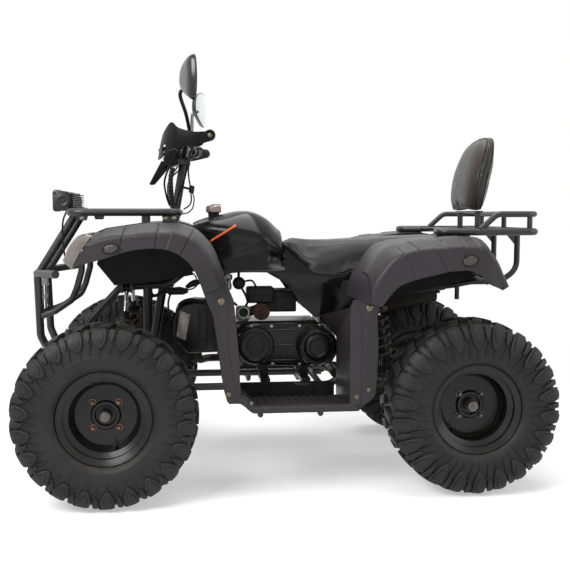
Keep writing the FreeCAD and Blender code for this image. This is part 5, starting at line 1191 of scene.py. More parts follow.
# Seat. Foam on a pan under black vinyl with a fine grain, bowed for the rider and
# raised for the passenger; a welt runs where the cover meets the pan, coloured pale
# as a painted highlight along the seat's edge.
SEAT = mm(
    (4.5, 50, 64, 800, 776), (40, 70, 95, 797, 741), (100, 90, 138, 790, 687),
    (170, 113, 152, 789, 680), (240, 131, 163, 792, 702), (300, 139, 165, 795, 729),
    (380, 141, 161, 800, 767), (470, 139, 158, 803, 771), (560, 136, 154, 805, 774),
    (586.5, 112, 132, 790, 779)
)


def seat_point(u, v):
    """u runs from the seat's nose to its tail, v round it."""
    x, top, low_half, high, low = eased(SEAT, min(max(u, 0.0), 1.0))
    crown = high - 0.012
    ring = [
        (0.0, high), (top * 0.6, high - 0.001), (top * 0.93, high - 0.006), (top + 0.006, crown - 0.002),
        ((top + low_half) / 2 + 0.006, (crown + low) / 2 + 0.006), (low_half, low + 0.008),
        (low_half - 0.003, low + 0.0005), (low_half * 0.5, low),
    ]
    share = abs(2 * v - 1)
    y, z = eased(ring, 1 - share)
    return Vector((x, (-1 if v > 0.5 else 1) * max(y, 0.0), z))


def plumped(piece, voxel, reach, held):
    """Lets a pad swell under its cover: even mesh, cloth with pressure, movement capped, made smooth."""
    alone(piece)
    piece.data.remesh_voxel_size = voxel
    bpy.ops.object.voxel_remesh()
    start = [point.co.copy() for point in piece.data.vertices]
    foam = piece.modifiers.new("foam", "CLOTH")
    foam.settings.use_pressure = True
    foam.settings.uniform_pressure_force = 4
    foam.settings.effector_weights.gravity = 0
    for step in range(1, 21):
        scene.frame_set(step)
    bpy.ops.object.modifier_apply(modifier="foam")
    scene.frame_set(1)
    for point, before in zip(piece.data.vertices, start):
        move = point.co - before
        limit = reach * held(before)
        if move.length > limit:
            move *= limit / move.length
        point.co = before + move
    worked(piece, "SMOOTH", factor=0.5, iterations=8)
    worked(piece, "SUBSURF", levels=1, render_levels=1)
    alone(piece)
    bpy.ops.object.shade_smooth()
    return piece


def vinyl_finish(name, colour, roughness):
    """Grained vinyl: cells over a soft unevenness, with a faint sheen."""
    material = finish(name, colour, roughness, cloud=9, mottle=0.14, dust=0.02, shine=0.24)
    tree = material.node_tree
    shader = tree.nodes["Principled BSDF"]
    cells = tree.nodes.new("ShaderNodeTexVoronoi")
    cells.inputs["Scale"].default_value = 520.0
    place = tree.nodes.new("ShaderNodeTexCoord")
    tree.links.new(place.outputs["Object"], cells.inputs["Vector"])
    relief = tree.nodes.new("ShaderNodeBump")
    relief.inputs["Strength"].default_value = 0.35
    relief.inputs["Distance"].default_value = 0.0004
    tree.links.new(cells.outputs["Distance"], relief.inputs["Height"])
    tree.links.new(shader.inputs["Normal"].links[0].from_socket, relief.inputs["Normal"])
    tree.links.new(relief.outputs[0], shader.inputs["Normal"])
    shader.inputs["Sheen Weight"].default_value = 0.08
    return material


seat_vinyl = vinyl_finish("black_seat_vinyl", (0.0085, 0.0082, 0.009), 0.4)
cushion = plumped(capped(bent_grid("seat_cushion", 90, 84, seat_point)), 0.006, 0.009,
                  lambda p: 0.0 if p.z < 0.7 + max(p.x - 0.17, 0) * 0.2 else 1.0)
cushion.data.materials.append(seat_vinyl)
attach(cushion, "chassis")
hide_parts("seat")
dress(seat_vinyl, "seat")
# The welt's pale colour is a painted highlight along the seat's lower edge
welt_painted_highlight = finish("pale_welt_painted_highlight", (0.2, 0.19, 0.185), 0.5, cloud=30)
for side in (-1, 1):
    welt = rounded_bar(f"seat_welt_{'left' if side < 0 else 'right'}", [
        (0.262, side * 0.1665, 0.714), (0.3, side * 0.1668, 0.733), (0.34, side * 0.1655, 0.752),
        (0.39, side * 0.164, 0.7745), (0.45, side * 0.1628, 0.7765), (0.52, side * 0.1612, 0.778),
        (0.555, side * 0.159, 0.7795),
    ], 0.0017, 60, 8)
    welt.data.materials.append(welt_painted_highlight)
    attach(welt, "chassis")

# Backrest. A foam pad in brown-black vinyl, with a black welt sewn round its face and
# another round its back, held on the two posts of the carrier.
REST = mm(
    (0, -26, 12, 116), (11, -35, 19, 136), (50, -38, 28, 146.5), (110, -30.5, 42, 147.5),
    (170, -15, 56, 141.5), (222, 5.5, 64, 122), (248, 26, 67, 90), (259, 38.5, 64, 55)
)
REST_FOOT = (rear_x + 0.116, 0.9005)


def rest_point(u, v):
    """u runs round the rest at one height, v from its foot to its top; the face bows towards the rider."""
    up, front, rear, half = eased(REST, v)
    middle, deep = (front + rear) / 2, (rear - front) / 2
    angle = math.tau * u
    c, s = math.cos(angle), math.sin(angle)
    y = half * abs(s) ** 0.62 * (1 if s > 0 else -1)
    depth = deep * abs(c) ** 0.75 * (1 if c > 0 else -1)
    if c < 0:
        depth *= 1.0 - 0.12 * abs(s) ** 3
    return Vector((REST_FOOT[0] + middle + depth, y, REST_FOOT[1] + up))


rest_vinyl = vinyl_finish("brown_black_vinyl", (0.02, 0.015, 0.0142), 0.34)
rest = plumped(capped(bent_grid("backrest_cushion", 120, 64, rest_point)), 0.0045, 0.006, lambda p: 1.0)
rest.data.materials.append(rest_vinyl)
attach(rest, "chassis")
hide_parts("backrest")
dress(seat_vinyl, "backrest")
welt_black = finish("black_welt", (0.01, 0.01, 0.011), 0.3)
for word, share in (("front", 0.18), ("rear", 0.8)):
    # The welt runs up one side, over the top and down the other, laid on the cover itself
    ring = []
    for side, heights in ((-1, range(0, 41)), (1, range(40, -1, -1))):
        for i in heights:
            up, front, rear, half = eased(REST, 0.03 + 0.968 * i / 40)
            ring.append((REST_FOOT[0] + front + (rear - front) * share, side * half * 0.985,
                         REST_FOOT[1] + up))
        if side < 0:
            x, y, z = ring[-1]
            ring += [(x, y * across, z + 0.004) for across in (0.6, 0.2, -0.2, -0.6)]
    laid = []
    for point in ring:
        spot, outwards = rest.closest_point_on_mesh(Vector(point))[1:3]
        laid.append(spot + outwards * 0.0006)
    welt = rounded_bar(f"backrest_welt_{word}", laid, 0.0026, 260, 8)
    welt.data.materials.append(welt_black)
    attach(welt, "chassis")

# Handlebar controls. Ribbed rubber grips, black levers on clamped perches with a
# switch housing inboard of each, and a reservoir beside the left one.
bar_tip = Vector((-0.252, -0.4, 1.126))
bar_knee = Vector((-0.32205, -0.185, 1.122))
along_grip = (bar_tip - bar_knee).normalized()
rubber_grip = finish("grip_rubber", (0.01, 0.01, 0.0105), 0.6, grain=(900, 0.0003), dust=0.05)
control_black = finish("control_black", (0.008, 0.008, 0.0085), 0.32, grain=(1400, 0.0001), dust=0.02)
bright_metal = finish("bright_metal", (0.45, 0.45, 0.46), 0.3, metal=1.0, grime=0.12)


def both_sides(piece, body, word):
    """Keeps the left piece and adds its twin on the right."""
    far = copied(piece, f"{word}_right", TO_RIGHT)
    piece.name = f"{word}_left"
    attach(piece, body)
    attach(far, body)


grip_rows = mm((0, 12), (0, 22.5), (7, 22.8), (8.5, 18.5))
for i in range(15):
    at = 0.012 + i * 0.0068
    grip_rows += [(at, 0.0166), (at + 0.0012, 0.0148), (at + 0.003, 0.0148), (at + 0.0042, 0.0166)]
grip_rows += mm((117, 16.7), (122.5, 16), (123.8, 12), (123.8, 0))
grip = turned_along("grip", bar_tip - along_grip * 0.12, bar_tip + along_grip * 0.004, grip_rows, 36)
grip.data.materials.append(rubber_grip)
both_sides(grip, "steering", "grip")
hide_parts("grips")
dress(rubber_grip, "grips")
root = bar_tip - along_grip * 0.121
housing = turned_along("switch_housing", root - along_grip * 0.042, root, mm(
    (0, 20), (2.5, 23.2), (19, 23.8), (19.8, 22.5), (22.2, 22.5), (23, 23.8),
    (39.5, 23.2), (42, 20)
), 36)
pivot = root - along_grip * 0.02 + Vector((-0.034, 0, -0.006))
perch = rounded_bar("perch", [root - along_grip * 0.02, (root - along_grip * 0.02 + pivot) / 2, pivot],
                    [0.011, 0.008, 0.0085], 10, 12)
blade_path = [pivot, pivot + Vector((-0.004, -0.022, -0.004)), pivot + Vector((-0.003, -0.046, -0.008)),
              pivot + Vector((0.007, -0.078, -0.012)), pivot + Vector((0.021, -0.106, -0.014)),
              pivot + Vector((0.03, -0.126, -0.016))]
blade = rounded_bar("brake_lever", blade_path, [0.0062, 0.0058, 0.005, 0.0046, 0.0044, 0.0062], 44, 12)
pin = turned_along("lever_pin", pivot + Vector((-0.002, 0, -0.012)), pivot + Vector((-0.002, 0, 0.012)), mm(
    (0, 9), (1.5, 10.5), (22.5, 10.5), (24, 9), (24, 5.5), (25.5, 5)
), 20)
toggles = []
for across, size in ((0.01, 0.0045), (0.021, 0.0055), (0.032, 0.0045)):
    base = root - along_grip * across + Vector((0.019, 0, 0.011))
    toggles.append(turned_along("toggle", base, base + Vector((0.006, 0, 0.0045)), [
        (0.0, size), (0.005, size), (0.0075, size * 0.7)], 12))
control = joined("controls_shell", [housing, perch, blade, pin] + toggles)
control.data.materials.append(control_black)
both_sides(control, "steering", "controls_shell")
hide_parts("controls")
dress(control_black, "controls", "handlebar")
for y in (-0.034, 0.034):
    clamp = plate(f"bar_clamp_{'left' if y < 0 else 'right'}", mm(
        (-349.5, 1077), (-310.5, 1077), (-310.5, 1098.5), (-316.5, 1105.8), (-343.5, 1105.8),
        (-349.5, 1098.5)
    ), y - 0.0122, y + 0.0122, 0.0015)
    clamp.data.materials.append(control_black)
    heads = []
    for x in (-0.344, -0.316):
        heads.append(turned_along("clamp_bolt", (x, y, 1.102), (x, y, 1.1085), mm(
            (0, 4.2), (5.5, 4.2), (6.5, 3.5), (6.5, 1.8), (4, 1.6)), 14))
    bolts = joined(f"clamp_bolts_{'left' if y < 0 else 'right'}", heads)
    bolts.data.materials.append(bright_metal)
    for piece in (clamp, bolts):
        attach(piece, "steering")
reservoir = plate("brake_reservoir", mm((-352, 1113.5), (-318, 1113.5), (-316, 1128.5), (-354, 1128.5)),
                  -0.232, -0.196, 0.003, 3)
lid = slab("reservoir_lid", (-0.357, 1.1287), (-0.313, 1.1335), -0.235, -0.193, 0.0018)
tank_small = joined("reservoir", [reservoir, lid])
tank_small.data.materials.append(control_black)
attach(tank_small, "steering")

# Hand guards. Thin black plastic, wide at the fingers and drawn out to the bar end,
# with an opening low in front and a boss under the bar-end bolt.
tip = bar_tip + along_grip * 0.004 + Vector((0, -0.00506, 0))
GUARD = mm(
    (6, 6, 0, -16, 15), (-46, -48, -2, -28, 11), (-96, -96, 14, -36, 24),
    (-128, -118, 44, -40, 43), (-149, -139, 84, -62, 22), (-162, -150, 140, -66, 4),
    (-165, -154, 200, -62, -12)
)


def guard_point(u, v):
    """u runs from the bar end to the guard's inner end, v from its low edge to its top."""
    low_x, high_x, y, low, high = eased(GUARD, u)
    bulge = 0.0022 * math.sin(math.pi * v)
    return Vector((tip.x + low_x + (high_x - low_x) * v - bulge * 0.6, tip.y + y - bulge,
                   tip.z + low + (high - low) * v))


guard = bent_grid("hand_guard", 72, 26, guard_point)
alone(guard)
bpy.ops.object.mode_set(mode="EDIT")
bpy.ops.mesh.select_mode(type="FACE")
bpy.ops.mesh.select_all(action="DESELECT")
bpy.ops.object.mode_set(mode="OBJECT")
for face in guard.data.polygons:
    middle = face.center
    face.select = ((middle.x + 0.3915) / 0.0062) ** 2 + ((middle.z - 1.0895) / 0.0145) ** 2 < 1
bpy.ops.object.mode_set(mode="EDIT")
bpy.ops.mesh.delete(type="FACE")
bpy.ops.mesh.select_mode(type="VERT")
bpy.ops.object.mode_set(mode="OBJECT")
walled(guard, LEFTWARDS, 0.0032)
softened(guard, 0.0009, 2, 50)
smoothed(guard, 40)
boss = washer("guard_boss", mm(
    (0, 5.2), (8.5, 5.2), (9.5, 4), (13.5, 4), (15.5, 5.5), (17.2, 4.5), (17.2, -3), (0, -3)
), (tip.x - 0.001, tip.y - 0.0005, tip.z), -1, 32)
guard = joined("hand_guard", [guard, boss])
guard_black = finish("guard_black", (0.0065, 0.006, 0.0065), 0.4, grain=(1200, 0.00012),
                     dust=0.015, shine=0.09)
guard.data.materials.append(guard_black)
both_sides(guard, "steering", "hand_guard")
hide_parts("hand_guards")
dress(guard_black, "hand_guards")
brass = finish("dull_brass", (0.16, 0.13, 0.08), 0.38, metal=1.0, grime=0.2)
screw = hex_nut("bar_end_screw", (tip.x - 0.001, tip.y - 0.0048, tip.z), 0.0125, 0.0022, -1)
screw.data.materials.append(brass)
both_sides(screw, "steering", "bar_end_screw")
last = Vector((tip.x - 0.165, tip.y + 0.2, tip.z - 0.034))
stay = rounded_bar("hand_guard_stay", [
    (last.x + 0.003, last.y - 0.008, last.z), (-0.385, -0.2195, 1.104), (-0.352, -0.217, 1.114),
    (-0.326, -0.2145, 1.117),
], [0.0045, 0.0048, 0.0048, 0.0048], 30, 10)
stay.data.materials.append(control_black)
both_sides(stay, "steering", "hand_guard_stay")

# Mirrors. Black shells on tapered stems, each with its glass in a thin rim. The two
# are set a little differently, as a rider leaves them.
MIRROR_ROWS = [(0, 14), (0, 56), (28, 80), (70, 92), (112, 97), (138, 88), (150, 40), (146, -10),
               (128, -38), (92, -30), (44, -12)]
mirror_black = finish("mirror_black", (0.0085, 0.008, 0.009), 0.2, grain=(300, 0.00003),
                      dust=0.01, shine=0.5)
silvering = finish("mirror_glass", (0.8, 0.81, 0.82), 0.03, metal=1.0)
turn = math.radians(15)
for side, word, elbow in ((-1, "left", Vector((-0.341, -0.336, 1.262))),
                          (1, "right", Vector((-0.303, 0.336, 1.272)))):
    outwards = Vector((math.sin(turn), side * math.cos(turn), 0))
    back = Vector((math.cos(turn), -side * math.sin(turn), 0))
    corner = elbow + Vector((0.014, side * 0.01, 0))

    def on_rim(share, scale, depth):
        """A point on the shell's section, scaled about its middle and moved ahead of the rim."""
        a, b = eased(MIRROR_ROWS, share, True)
        a, b = 75 + (a - 75) * scale, 30 + (b - 30) * scale
        return corner + outwards * (a / 1000) + Vector((0, 0, b / 1000)) - back * depth

    rows = [(0.985, 0.0006), (0.998, 0.002), (0.985, 0.006), (0.93, 0.0125), (0.84, 0.018), (0.66, 0.0222),
            (0.4, 0.0236), (0.05, 0.0238)]
    shell = bent_grid(f"mirror_shell_{word}", 72, 20, lambda u, v: on_rim(u % 1.0, *eased(rows, v)))
    smoothed(capped(shell), 50)
    shell.data.materials.append(mirror_black)
    glass = bent_grid(f"mirror_face_{word}", 72, 3,
                      lambda u, v: on_rim(u % 1.0, 0.02 + 0.93 * v, -0.00025 * (1 - v)))
    smoothed(sewn(glass), 60)
    glass.data.materials.append(silvering)
    foot = Vector((-0.3071, side * 0.2307, 1.1229))
    stem = rounded_bar(f"mirror_stem_{word}", [
        foot + Vector((0, 0, 0.012)), foot + Vector((-0.0075, side * 0.003, 0.042)),
        foot * 0.5 + elbow * 0.5 + Vector((0, 0, 0.012)), elbow + Vector((0, -side * 0.003, -0.004)),
        elbow + Vector((0.02, side * 0.024, 0.013)),
    ], [0.0068, 0.0064, 0.006, 0.0062, 0.006], 60, 14)
    nut = hex_nut(f"mirror_nut_{word}", (foot.x, foot.y, foot.z + 0.0135), 0.017, 0.008, 1, "Z")
    half_clamp = Vector((along_grip.x, -side * along_grip.y, along_grip.z)) * 0.009
    clamp = turned_along(f"mirror_clamp_{word}", foot - half_clamp, foot + half_clamp, mm(
        (0, 17.5), (1.5, 19), (16.5, 19), (18, 17.5)), 30)
    stem = joined(f"mirror_stem_{word}", [stem, nut, clamp])
    stem.data.materials.append(mirror_black)
    for piece in (shell, glass, stem):
        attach(piece, "steering")
    if side < 0:
        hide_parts("mirrors")
dress(mirror_black, "mirrors")

# Instrument pod. A small black housing with a round dial facing the rider and two
# fins hanging ahead of it.
pod_x = -0.35635
pod = plate("meter_pod", [
    (pod_x, 1.0585), (pod_x, 1.1125), (pod_x - 0.02, 1.1105), (pod_x - 0.045, 1.1005),
    (pod_x - 0.0455, 1.0465), (pod_x - 0.02, 1.0515),
], -0.06, 0.06, 0.006, 4)
bezel = turned_along("meter_bezel", (pod_x - 0.03, 0, 1.1), (pod_x - 0.0265, 0, 1.1115), mm(
    (0, 33), (9.5, 33), (11.8, 31), (11.2, 29), (9.5, 28.5)
), 40)
fins = []
for y in (-0.04, 0.04):
    fin = plate("pod_fin", [
        (pod_x - 0.054, 1.0712), (pod_x - 0.0245, 1.0575), (pod_x - 0.081, 0.9915),
        (pod_x - 0.0975, 0.9897),
    ], y - 0.0022, y + 0.0022, 0.001)
    fins.append(fin)
pod = joined("meter_pod", [pod, bezel] + fins)
pod.data.materials.append(guard_black)
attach(pod, "steering")
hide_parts("meter_cowl")
dress(guard_black, "meter_cowl")
face = turned_along("meter_face", (pod_x - 0.0272, 0, 1.1096), (pod_x - 0.02705, 0, 1.1101), mm(
    (0, 28.2), (0.5, 28), (0.7, 0)), 40)
face.data.materials.append(finish("dial_glass", (0.012, 0.013, 0.015), 0.05, coat=0.8))
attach(face, "steering")

# Cables. Black control cables and a spiral-wrapped harness drop from the bar along
# the column to the frame, held at both ends.
cable_black = finish("cable_black", (0.008, 0.008, 0.0085), 0.34, cloud=40)
for word, path in (
    ("throttle",
     mm((-304.5, 262, 1104), (-345, 215, 1060), (-388, 115, 1010), (-392, 55, 955), (-381, 34, 918))),
    ("front_brake_left",
     mm((-333, -262, 1108), (-372, -205, 1055), (-398, -120, 1000), (-394, -72, 950), (-384, -45, 918))),
    ("front_brake_right",
     mm((-333, 262, 1108), (-362, 200, 1060), (-382, 100, 1020), (-386, 50, 970), (-379, 30, 918))),
    ("rear_brake",
     mm((-303, -252, 1103.5), (-318, -200, 1055), (-334, -110, 1000), (-352, -64, 955), (-364, -44, 918))),
    ("choke",
     mm((-306, -258, 1102.5), (-318, -225, 1030), (-311, -120, 965), (-312, -70, 925), (-335, -52, 905))),
):
    cable = rounded_bar(f"cable_{word}", path, 0.0026 if word == "choke" else 0.0033, 90, 8)
    cable.data.materials.append(cable_black)
    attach(cable, "steering")
wrap = [0.0078 + 0.0012 * (k % 2) for k in range(27)]
harness = rounded_bar("wrapped_harness", mm(
    (-372, -60, 1046), (-379, -62, 1010), (-378.5, -62, 970), (-375.5, -60, 935), (-374, -58, 909)
), wrap, 110, 12)
harness.data.materials.append(cable_black)
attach(harness, "steering")
box = plate("key_switch", mm((-318.5, 962), (-301, 959), (-297.5, 984), (-315.5, 989)),
            -0.06, -0.03, 0.003, 3)
loop = rounded_bar("switch_wire", mm(
    (-306, -45, 962), (-300, -50, 940), (-306, -50, 908), (-322, -45, 893), (-339, -35, 889)
), 0.0022, 60, 8)
arm = rounded_bar("switch_bracket", mm((-309, -35, 974), (-325, -18, 978), (-340, -6, 982)), 0.004, 12, 8)
switch = joined("key_switch", [box, loop, arm])
switch.data.materials.append(control_black)
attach(switch, "steering")

# Carriers and bumper. Welded tube in satin powder coat, dusty on top; flat brackets,
# gussets and bolts hold them to the frame.
carrier_coat = finish("carrier_coat", (0.0155, 0.0148, 0.0158), 0.3, cloud=9, mottle=0.12,
                      grain=(1300.0, 0.00012), dust=0.03, shine=0.45)
dress(carrier_coat, "front_rack", "rear_rack", "front_bumper")
# Outline, middle from the bike's middle plane, half the thickness and the edges' rounding of each flat part
flats = []
for name, outline, middle, half, *edge in (
    ("rack_bracket", mm((-398, 865.5), (-356, 865.5), (-350, 887), (-404, 887)), 0.287, 0.002, 0.001, 1),
    ("rack_bracket", mm((-671, 868), (-640, 868), (-634, 887), (-676, 887)), 0.262, 0.002, 0.001, 1),
    ("rack_foot", mm((-402, 861.5), (-352, 861.5), (-352, 865), (-402, 865)), 0.287, 0.014, 0.001, 1),
    ("rack_gusset", mm((790, 818), (830, 818), (830, 776), (818, 786)), 0.118, 0.002, 0.001, 1),
    ("rack_pad", mm((560, 812.5), (596, 812.5), (596, 818), (560, 818)), 0.3, 0.016, 0.0012, 2),
):
    for side in (-1, 1):
        flats.append(plate(name, outline, side * middle - half, side * middle + half, *edge))
brackets = joined("carrier_brackets", flats)
brackets.data.materials.append(carrier_coat)
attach(brackets, "chassis")
heads = []
for side in (-1, 1):
    for x in (-0.391, -0.364):
        heads.append(hex_nut("bracket_bolt", (x, side * 0.2885, 0.8755), 0.01, 0.005, side))
    heads.append(hex_nut("bracket_bolt", (-0.655, side * 0.2635, 0.8775), 0.01, 0.005, side))
    for x, z in ((-0.8185, 0.64), (-0.8185, 0.56)):
        heads.append(hex_nut("bumper_bolt", (x - 0.0045, side * 0.08, z), 0.012, 0.006, side))
bolts = joined("carrier_bolts", heads)
bolts.data.materials.append(zinc)
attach(bolts, "chassis")

# Lamp bar. A finned aluminium housing between round end plates, with two rows of clear
# emitters in front, held by two brackets on the carrier's front tube.
bar_x, bar_z = -0.73, 0.932
lamp_alloy = finish("lamp_alloy_black", (0.009, 0.0095, 0.011), 0.36, cloud=12, grain=(700.0, 0.00015),
                    dust=0.04, shine=0.4)
bar_parts = [plate("lamp_body", [
    (bar_x - 0.0265, bar_z - 0.0295), (bar_x - 0.0265, bar_z + 0.0295), (bar_x - 0.004, bar_z + 0.0335),
    (bar_x + 0.014, bar_z + 0.03), (bar_x + 0.014, bar_z - 0.03), (bar_x - 0.004, bar_z - 0.0335),
], -0.1545, 0.1545, 0.0015, 2)]
for h in (-0.0265, -0.0205, -0.0145, -0.0085, -0.0025, 0.0035, 0.0095, 0.0155, 0.0215):
    bar_parts.append(slab("lamp_fin", (bar_x + 0.01, bar_z + h), (bar_x + 0.0335, bar_z + h + 0.0026),
                          -0.1515, 0.1515, 0.0006, 1))
for side in (-1, 1):
    # A round plate with a flat front flange, whose two ears stand up at its corners
    arc = [math.radians(70 - 14 * step) for step in range(11)]
    outline = [
        (bar_x - 0.0085, bar_z - 0.0355), (bar_x - 0.025, bar_z - 0.0355), (bar_x - 0.031, bar_z - 0.029),
        (bar_x - 0.031, bar_z + 0.029), (bar_x - 0.025, bar_z + 0.0355), (bar_x - 0.0085, bar_z + 0.0355),
    ] + [(bar_x - 0.0055 + 0.031 * math.cos(a), bar_z + 0.0318 * math.sin(a)) for a in arc]
    bar_parts.append(plate("lamp_end", outline, *sorted((side * 0.155, side * 0.1595)), 0.0016))
    bar_parts.append(washer("lamp_boss", mm(
        (0, -2), (21.5, -2), (21.5, 0.5), (19, 2.2), (14.5, 2.2), (12.5, 0.8), (6.5, 0.8),
        (5.5, 3.6), (0, 3.6)
    ), (bar_x + 0.002, side * 0.159, bar_z), side, 40))
    for a, b in ((-0.024, 0.024), (-0.024, -0.024), (0.014, 0.026), (0.014, -0.026)):
        bar_parts.append(washer("lamp_screw",
                                mm((0, 3), (2.2, 3), (2.6, 1.8), (4.4, 1.8), (4.8, -1), (0, -1)),
                                (bar_x + a, side * 0.159, bar_z + b), side, 16))
    bar_parts.append(plate("lamp_bracket", [
        (bar_x + 0.008, 0.9062), (bar_x + 0.05, 0.9062), (bar_x + 0.05, 0.9105), (bar_x + 0.03, 0.912),
        (bar_x + 0.03, bar_z + 0.008), (bar_x + 0.022, bar_z + 0.01), (bar_x + 0.008, bar_z + 0.002),
    ], *sorted((side * 0.1055, side * 0.1095)), 0.001, 1))
lamp = joined("lamp_bar_body", bar_parts)
lamp.data.materials.append(lamp_alloy)
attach(lamp, "chassis")
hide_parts("lamp_bar")
dress(lamp_alloy, "lamp_bar")
clear = finish("clear_lens", (0.62, 0.64, 0.66), 0.06, coat=0.6)
emitters = []
for z in (-0.0125, 0.0125):
    for i in range(9):
        y = -0.132 + 0.033 * i
        back, front = (bar_x - 0.0262, y, bar_z + z), (bar_x - 0.029, y, bar_z + z)
        emitters.append(turned_along("emitter", back, front, mm(
            (0, 11.5), (2.4, 11.5), (2.6, 10.5), (1.2, 6), (1, 4), (2.8, 3)), 18))
lenses = joined("lamp_bar_emitters", emitters)
lenses.data.materials.append(clear)
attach(lenses, "chassis")
lead = rounded_bar("lamp_bar_lead", [
    (bar_x + 0.02, -0.15, 0.918), (bar_x + 0.016, -0.158, 0.903), (bar_x + 0.002, -0.16, 0.868),
    (bar_x - 0.0005, -0.164, 0.82), (bar_x + 0.004, -0.17, 0.77), (bar_x + 0.01, -0.172, 0.735),
    (bar_x + 0.022, -0.168, 0.712), (bar_x + 0.04, -0.16, 0.712), (bar_x + 0.052, -0.156, 0.73),
], 0.003, 120, 10)
lead.data.materials.append(cable_black)
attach(lead, "chassis")

# Headlamps. A clear moulded lens, wrapped round the fender's corner, over a row of
# bright bowls with their bulbs and a dark housing.
LENS = [
    (0.156,
     mm((-31.8, 540), (-58, 548), (-82, 534), (-102, 508), (-116, 474), (-122, 456), (-96, 445.5),
        (-85.8, 446))),
    (0.3,
     mm((-31.8, 540), (-62, 548), (-88, 536), (-110, 508), (-124, 474), (-130, 456), (-100, 445.5),
        (-85.8, 446))),
    (0.44,
     mm((-32.2, 539), (-53, 544), (-76, 538), (-100, 512), (-114, 480), (-118, 466), (-94, 445.5),
        (-85.3, 447))),
    (0.478,
     mm((-34.4, 536), (-46, 536), (-64, 526), (-84, 502), (-96, 476), (-100, 462), (-90, 447),
        (-84.2, 449))),
    (0.4965,
     mm((-37.9, 530), (-40, 527), (-48, 516), (-62, 494), (-74, 473), (-82, 458), (-85, 451),
        (-83.5, 450.2))),
]


def lens_point(u, v, inset=0.0):
    """u runs from the middle to the side, v from the lamp's top round its front to its foot."""
    rows = [(y,) + tuple(n for pair in outline for n in pair) for y, outline in LENS]
    row = eased(rows, u)
    pairs = [(row[1 + 2 * k], row[2 + 2 * k]) for k in range(8)]
    a, b = eased(pairs, v)
    middle = (sum(p[0] for p in pairs) / 8, sum(p[1] for p in pairs) / 8)
    a, b = a + (middle[0] - a) * inset, b + (middle[1] - b) * inset
    return Vector((front_x + a, -row[0], front_z + b))


glass = bpy.data.materials.new("lamp_glass")
glass.use_nodes = True
tree = glass.node_tree
shader = tree.nodes["Principled BSDF"]
shader.inputs["Transmission Weight"].default_value = 0.35
shader.inputs["IOR"].default_value = 1.2
shader.inputs["Roughness"].default_value = 0.06
cloud = tree.nodes.new("ShaderNodeTexNoise")
cloud.inputs["Scale"].default_value = 14
place = tree.nodes.new("ShaderNodeTexCoord")
tree.links.new(place.outputs["Object"], cloud.inputs["Vector"])
tint = tree.nodes.new("ShaderNodeValToRGB")
tint.color_ramp.elements[0].color = (0.13, 0.108, 0.1, 1)
tint.color_ramp.elements[1].color = (0.32, 0.285, 0.275, 1)
tree.links.new(cloud.outputs["Fac"], tint.inputs[0])
tree.links.new(tint.outputs[0], shader.inputs["Base Color"])
bowl_chrome = finish("bowl_chrome", (0.72, 0.71, 0.71), 0.12, metal=1.0, grain=(120.0, 0.0003))
bowl_dark = finish("lamp_housing", (0.1, 0.085, 0.082), 0.45, cloud=16, mottle=0.3, dust=0.2)
cover = smoothed(walled(bent_grid("headlamp_lens", 60, 48, lens_point), UPWARDS, 0.0022), 50)
cover.data.materials.append(glass)
both_sides(cover, "chassis", "headlamp_lens")
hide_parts("headlights")


def housing_point(u, v):
    """A point on the housing, drawn in behind the lens."""
    return lens_point(0.02 + 0.93 * u, v, 0.3 + 0.25 * math.sin(math.pi * v))


pan = smoothed(walled(bent_grid("headlamp_housing", 40, 30, housing_point), UPWARDS, 0.002), 50)
pan.data.materials.append(bowl_dark)
both_sides(pan, "chassis", "headlamp_housing")
bowls = []
for y, size in ((-0.215, 0.0185), (-0.27, 0.0185), (-0.325, 0.0185), (-0.378, 0.0165)):
    near = Vector((front_x - 0.082, y, front_z + 0.501))
    foot = near + Vector((0.02, 0, -0.006))
    bowls.append(turned_along("bowl", near, foot, [
        (-0.002, size * 0.96), (0.0, size), (0.002, size * 0.93), (0.01, size * 0.72), (0.017, size * 0.42),
        (0.02, size * 0.22), (0.012, size * 0.2), (0.004, size * 0.18), (0.002, size * 0.08)], 40))
bowl = joined("headlamp_bowls", bowls)
bowl.data.materials.append(bowl_chrome)
both_sides(bowl, "chassis", "headlamp_bowls")
dress(bowl_dark, "headlights")

# Tail lamp and side marks. Ribbed red lens in a black pan; the marks are smoked oval
# lenses in rubber surrounds on all four fenders.
lens_red = finish("red_lens", (0.3, 0.012, 0.01), 0.12, cloud=30, coat=0.5)
smoked = finish("smoked_lens", (0.034, 0.024, 0.019), 0.2, cloud=40, mottle=0.4, shine=0.6)
tail_x, tail_z = rear_x + 0.1123, rear_z + 0.404
tail_parts = [plate("tail_lens", [
    (tail_x + 0.0065, tail_z - 0.0195), (tail_x + 0.019, tail_z - 0.0165), (tail_x + 0.0205, tail_z + 0.01),
    (tail_x + 0.0065, tail_z + 0.0135),
], -0.066, 0.066, 0.003, 3)]
for i in range(11):
    y = -0.055 + 0.011 * i
    tail_parts.append(rounded_bar("lens_rib", [
        (tail_x + 0.019, y, tail_z - 0.014), (tail_x + 0.0208, y, tail_z - 0.002),
        (tail_x + 0.0202, y, tail_z + 0.008),
    ], 0.0011, 8, 8))
tail_lens = joined("tail_lens", tail_parts)
tail_lens.data.materials.append(lens_red)
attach(tail_lens, "chassis")
tail_pan = slab("tail_pan", (tail_x + 0.0005, tail_z - 0.0215), (tail_x + 0.0085, tail_z + 0.0155),
                -0.0695, 0.0695)
tail_pan.data.materials.append(liner)
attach(tail_pan, "chassis")
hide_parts("lamps")
